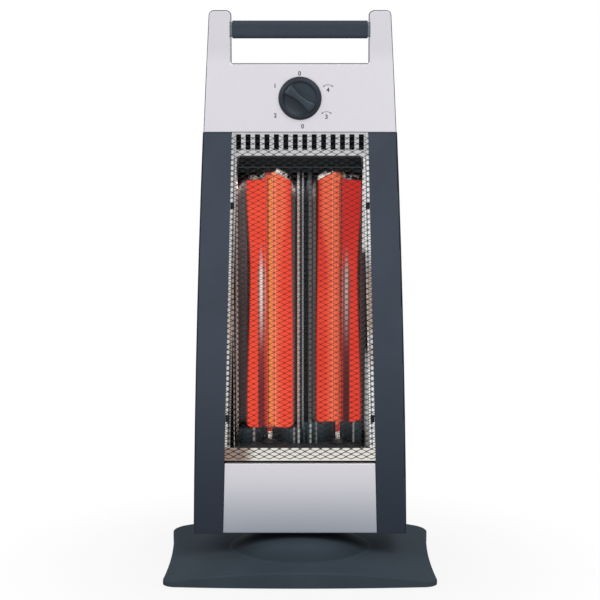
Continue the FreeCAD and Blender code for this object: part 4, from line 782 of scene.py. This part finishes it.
def make_mesh_guard():
    """Expanded metal: zigzag strands, stout where they meet and slimmer between, most so where they fall."""
    cell_wide, cell_high = 11.2 * MM, 5.8 * MM
    joint, rising, falling = 0.75 * MM, 0.5 * MM, 0.34 * MM
    peak = cell_high / 4 - joint * 0.3
    overlap = 6.4 * MM
    strands = []
    for row in range(int((WINDOW_HIGH - WINDOW_LOW) / (cell_high / 2)) - 1):
        line = WINDOW_LOW + (row + 1) * cell_high / 2
        reach = int((window_half(line) + overlap) / (cell_wide / 2))
        sections = []
        for step in range(-2 * reach, 2 * reach + 1):
            column, halfway = divmod(step, 2)
            up = 1 if (column + row) % 2 else -1
            x = step * cell_wide / 4
            if halfway:
                sections.append(strand_section(x, line, (falling if up > 0 else rising) / 2))
            else:
                sections.append(strand_section(x, line + up * peak, joint / 2))
        strands.append(loft(sections))
    verts, faces = joined(strands)
    add_piece("guard_mesh", verts, faces, "tower", FINISHES["mesh_metal"], "mesh_guard")


def trough(centre, steps=20):
    """One parabolic trough from rim to rim."""
    points = []
    for step in range(steps + 1):
        share = 2 * step / steps - 1
        points.append((centre + share * TROUGH_HALF, TROUGH_RIM + TROUGH_DEPTH * (1 - share * share)))
    return points


def make_reflector():
    """Folded bright sheet: hems, side walls, two troughs and creases between them."""
    hem = TROUGHS[1][0]
    low, high = TROUGHS[0][2], TROUGHS[1][2]
    rib_start = TUBE_LEFT + TROUGH_HALF
    rib_end = TUBE_RIGHT - TROUGH_HALF
    folds = ((0.14, 1.5), (0.3, -3.0), (0.42, 1.0), (0.5, -2.0), (0.58, 1.0), (0.7, -3.0), (0.86, 1.5))
    ribs = [(rib_start + share * (rib_end - rib_start), TROUGH_RIM + back * MM) for share, back in folds]
    section = [(-hem, HEM_FRONT), (-WALL_HALF, HEM_FRONT), (-WALL_HALF, TROUGH_RIM)]
    section += trough(TUBE_LEFT) + ribs + trough(TUBE_RIGHT)
    section += [(WALL_HALF, TROUGH_RIM), (WALL_HALF, HEM_FRONT)]
    levels = 9
    rings = []
    for level in range(levels):
        share = level / (levels - 1)
        z = low + (high - low) * share
        edge = (hem + HEM_FLARE * (1 - share), HEM_FRONT)
        rings.append([(x, y, z) for x, y in section + [edge]])
    verts, faces = loft(rings, closed=False)
    item = add_piece("reflector_sheet", verts, faces, "tower", REFLECTOR_PAINTED_GLOW,
                     "reflector", smooth=25)
    sheet = item.modifiers.new("Sheet", "SOLIDIFY")
    sheet.thickness = SHEET_THICK
    sheet.offset = -1.0


def make_caps():
    """Ceramic end caps: a collar in the bracket and a slim neck in the tube's end."""
    profile = ((2.0, 0.0), (2.4, 0.6), (2.4, 8.4), (5.8, 8.9), (7.0, 9.6), (7.5, 10.6), (7.5, 13.4),
               (7.1, 14.0))
    offsets, faces = loft(turned(profile, 32))
    for side in ("left", "right"):
        for level, up in (("upper", 1), ("lower", -1)):
            node = side + "_" + level + "_cap"
            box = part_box(node)
            start = box[0][2] if up > 0 else box[1][2]
            x, y = box_middle(box, 0), box_middle(box, 1)
            verts = [(x + across, y + around, start + up * along) for across, along, around in offsets]
            add_piece("cap_" + side + "_" + level, verts, faces, "tower", FINISHES["ceramic"],
                      node, smooth=35)


def grip_ring(half_length, half_width, depth, steps=72):
    """One outline of the knob's grip in mm, slim in the middle and flared at both ends."""
    waist, flare = 0.7, 0.9
    end_power, side_power = 0.35, 0.6
    angle = math.radians(142.0)
    ring = []
    for step in range(steps):
        turn = 2 * math.pi * step / steps
        share = math.copysign(abs(math.cos(turn)) ** end_power, math.cos(turn))
        along = share * half_length
        aside = math.copysign(abs(math.sin(turn)) ** side_power, math.sin(turn)) * half_width
        aside *= waist + flare * share * share
        x = along * math.cos(angle) - aside * math.sin(angle)
        z = along * math.sin(angle) + aside * math.cos(angle)
        ring.append((x * MM, depth * MM, z * MM))
    return ring


def make_knob():
    """Dished knob with a sloping rim and a waisted grip that flares into the rim at both ends."""
    dish = ((22.4, 0.0), (22.9, 0.4), (23.0, 1.0), (22.9, 2.2), (22.4, 3.2), (21.4, 4.1), (20.2, 4.7),
            (19.2, 5.0), (18.4, 4.95), (17.7, 4.6), (17.1, 4.0), (16.2, 3.6), (15.0, 3.4), (4.0, 3.2))
    grip = ((17.8, 6.0, 3.0), (17.5, 5.4, 6.0), (16.8, 4.7, 10.0), (16.3, 4.3, 12.6), (15.8, 3.8, 13.6),
            (15.0, 3.0, 14.2), (13.8, 1.8, 14.35))
    offsets, faces = joined([loft(turned(dish, 72)), loft([grip_ring(*row) for row in grip])])
    back = KNOB[1][1]
    verts = [(KNOB_X + across, back - along, KNOB_Z + up) for across, along, up in offsets]
    add_piece("knob_form", verts, faces, "knob", FINISHES["knob_plastic"],
              "control_knob", smooth=40)


def print_number(label, text, x, z, height):
    """A printed number on the control panel."""
    cap_share = 0.7
    thick, bolder = 0.03 * MM, 0.19 * MM
    curve = bpy.data.curves.new(label + "_text", "FONT")
    curve.body = text
    curve.size = height / cap_share
    curve.align_x = "CENTER"
    curve.align_y = "CENTER"
    curve.extrude = thick
    curve.offset = bolder
    holder = bpy.data.objects.new(label + "_text", curve)
    bpy.context.scene.collection.objects.link(holder)
    bpy.context.view_layer.update()
    flat = bpy.data.meshes.new_from_object(holder.evaluated_get(bpy.context.evaluated_depsgraph_get()))
    bpy.data.objects.remove(holder)
    lift = Matrix.Translation((x, PANEL_FRONT - thick, z)) @ Matrix.Rotation(math.radians(90), 4, "X")
    verts = [tuple(lift @ corner.co) for corner in flat.vertices]
    faces = [tuple(side.vertices) for side in flat.polygons]
    bpy.data.meshes.remove(flat)
    add_piece(label, verts, faces, "tower", PRINT)


def swing_sign(label, x, z):
    """A shallow printed arc with an arrow head at each end."""
    radius, spread, half_line = 7.5 * MM, math.radians(34), 0.28 * MM
    head_long, head_half = 1.6 * MM, 1.0 * MM
    thick = 0.06 * MM
    steps = 10
    angles = [spread * (2 * step / steps - 1) for step in range(steps + 1)]

    def polar(distance, angle):
        return (distance * math.sin(angle), distance * math.cos(angle))

    outer = [polar(radius + half_line, angle) for angle in angles]
    inner = [polar(radius - half_line, angle) for angle in angles]
    outlines = [[outer[step], outer[step + 1], inner[step + 1], inner[step]] for step in range(steps)]
    for side in (-1, 1):
        end = polar(radius, side * spread)
        tip = (end[0] + side * math.cos(spread) * head_long, end[1] - math.sin(spread) * head_long)
        outlines.append([polar(radius + head_half, side * spread), tip,
                         polar(radius - head_half, side * spread)])
    shapes = []
    for outline in outlines:
        shapes.append(loft([[(x + across, y, z + up - radius) for across, up in outline]
                            for y in (PANEL_FRONT - thick, PANEL_FRONT)]))
    verts, faces = joined(shapes)
    add_piece(label, verts, faces, "tower", PRINT)


def make_dial():
    """Numbers around the knob, the two on the right with a swing sign above them; places in mm."""
    marks = (("off_top", "0", -0.5, 546.3), ("low_heat", "1", -26.6, 533.1), ("high_heat", "2", -26.3, 501.8),
             ("off_foot", "0", 2.7, 490.2), ("high_swing", "3", 28.2, 500.4), ("low_swing", "4", 29.8, 528.9))
    for label, text, x, z in marks:
        print_number("dial_" + label, text, x * MM, z * MM, 4.4 * MM)
    swing_sign("swing_sign_high", 28.2 * MM, 506.0 * MM)
    swing_sign("swing_sign_low", 29.8 * MM, 534.5 * MM)


# Studio: half width of the floor, distances over which it whitens, and strength of the light all round
FLOOR_HALF = 6.0
FLOOR_FADE = (0.14, 0.4)
LIGHT_ALL_ROUND = 0.38

# Lamps: name, place, target, size and power
LAMPS = (
    ("key_light", (0.9, -1.7, 1.9), (0.0, 0.0, 0.4), 1.3, 27.0),
    ("fill_light", (-1.5, -1.5, 1.4), (0.0, 0.0, 0.35), 1.3, 15.0),
    ("rear_left_light", (-1.9, 1.7, 1.1), (0.0, 0.0, 0.35), 1.2, 8.0),
    ("rear_right_light", (1.9, 1.7, 1.1), (0.0, 0.0, 0.35), 1.2, 8.0),
)


def seen_directly(made):
    """1 for rays from the camera and for those that metal and glass send on."""
    path = made.node("LightPath").outputs
    total = path["Is Camera Ray"]
    for name in ("Is Glossy Ray", "Is Transmission Ray"):
        total = made.math("ADD", total, path[name], clamp=True)
    return total


def make_floor():
    """Pale floor that is white to the camera, less so near the object, where it keeps the soft shadow."""
    material = bpy.data.materials.new("studio_floor")
    material.use_nodes = True
    material.node_tree.nodes.clear()
    made = Nodes(material.node_tree)
    matt = made.node("BsdfDiffuse", {"Color": (0.5, 0.5, 0.5, 1.0)}).outputs[0]
    white = made.node("Emission", {"Strength": 1.0}).outputs[0]
    place = made.node("TexCoord").outputs["Object"]
    away = made.node("VectorMath", {0: place}, operation="LENGTH").outputs["Value"]
    share = made.times(seen_directly(made), made.span(away, *FLOOR_FADE, 0.9, 1.0))
    made.node("OutputMaterial", {0: made.node("MixShader", {0: share, 1: matt, 2: white}).outputs[0]})
    corners = ((-1, -1), (1, -1), (1, 1), (-1, 1))
    mesh = bpy.data.meshes.new("studio_floor")
    mesh.from_pydata([(x * FLOOR_HALF, y * FLOOR_HALF, 0.0) for x, y in corners], [], [(0, 1, 2, 3)])
    mesh.materials.append(material)
    floor = bpy.data.objects.new("studio_floor", mesh)
    bpy.context.scene.collection.objects.link(floor)


def make_world():
    """Soft light from all sides behind a white backdrop."""
    world = bpy.data.worlds.new("studio")
    world.use_nodes = True
    world.node_tree.nodes.clear()
    made = Nodes(world.node_tree)
    lighting = made.node("Background", {"Strength": LIGHT_ALL_ROUND}).outputs[0]
    backdrop = made.node("Background", {"Color": (1.0, 1.0, 1.0, 1.0)}).outputs[0]
    mixed = made.node("MixShader", {0: seen_directly(made), 1: lighting, 2: backdrop}).outputs[0]
    made.node("OutputWorld", {0: mixed})
    bpy.context.scene.world = world


def area_light(name, place, target, size, power):
    """A square lamp that faces a target."""
    lamp = bpy.data.lights.new(name, "AREA")
    lamp.energy = power
    lamp.size = size
    item = bpy.data.objects.new(name, lamp)
    item.location = place
    item.rotation_mode = "QUATERNION"
    item.rotation_quaternion = (Vector(target) - Vector(place)).to_track_quat("-Z", "Y")
    bpy.context.scene.collection.objects.link(item)


def make_camera():
    """The photograph's camera, without colour grading."""
    lens = bpy.data.cameras.new("photo_camera")
    lens.lens = CAMERA_LENS
    lens.sensor_width = CAMERA_SENSOR
    camera = bpy.data.objects.new("photo_camera", lens)
    camera.location = CAMERA_PLACE
    camera.rotation_euler = (CAMERA_PITCH, 0.0, 0.0)
    bpy.context.scene.collection.objects.link(camera)
    bpy.context.scene.camera = camera
    bpy.context.scene.view_settings.view_transform = "Standard"


def make_studio():
    """Floor, backdrop, four lamps and the camera."""
    make_floor()
    make_world()
    for lamp in LAMPS:
        area_light(*lamp)
    make_camera()


dress_solids()
make_mesh_guard()
make_reflector()
make_caps()
make_knob()
make_dial()
make_studio()
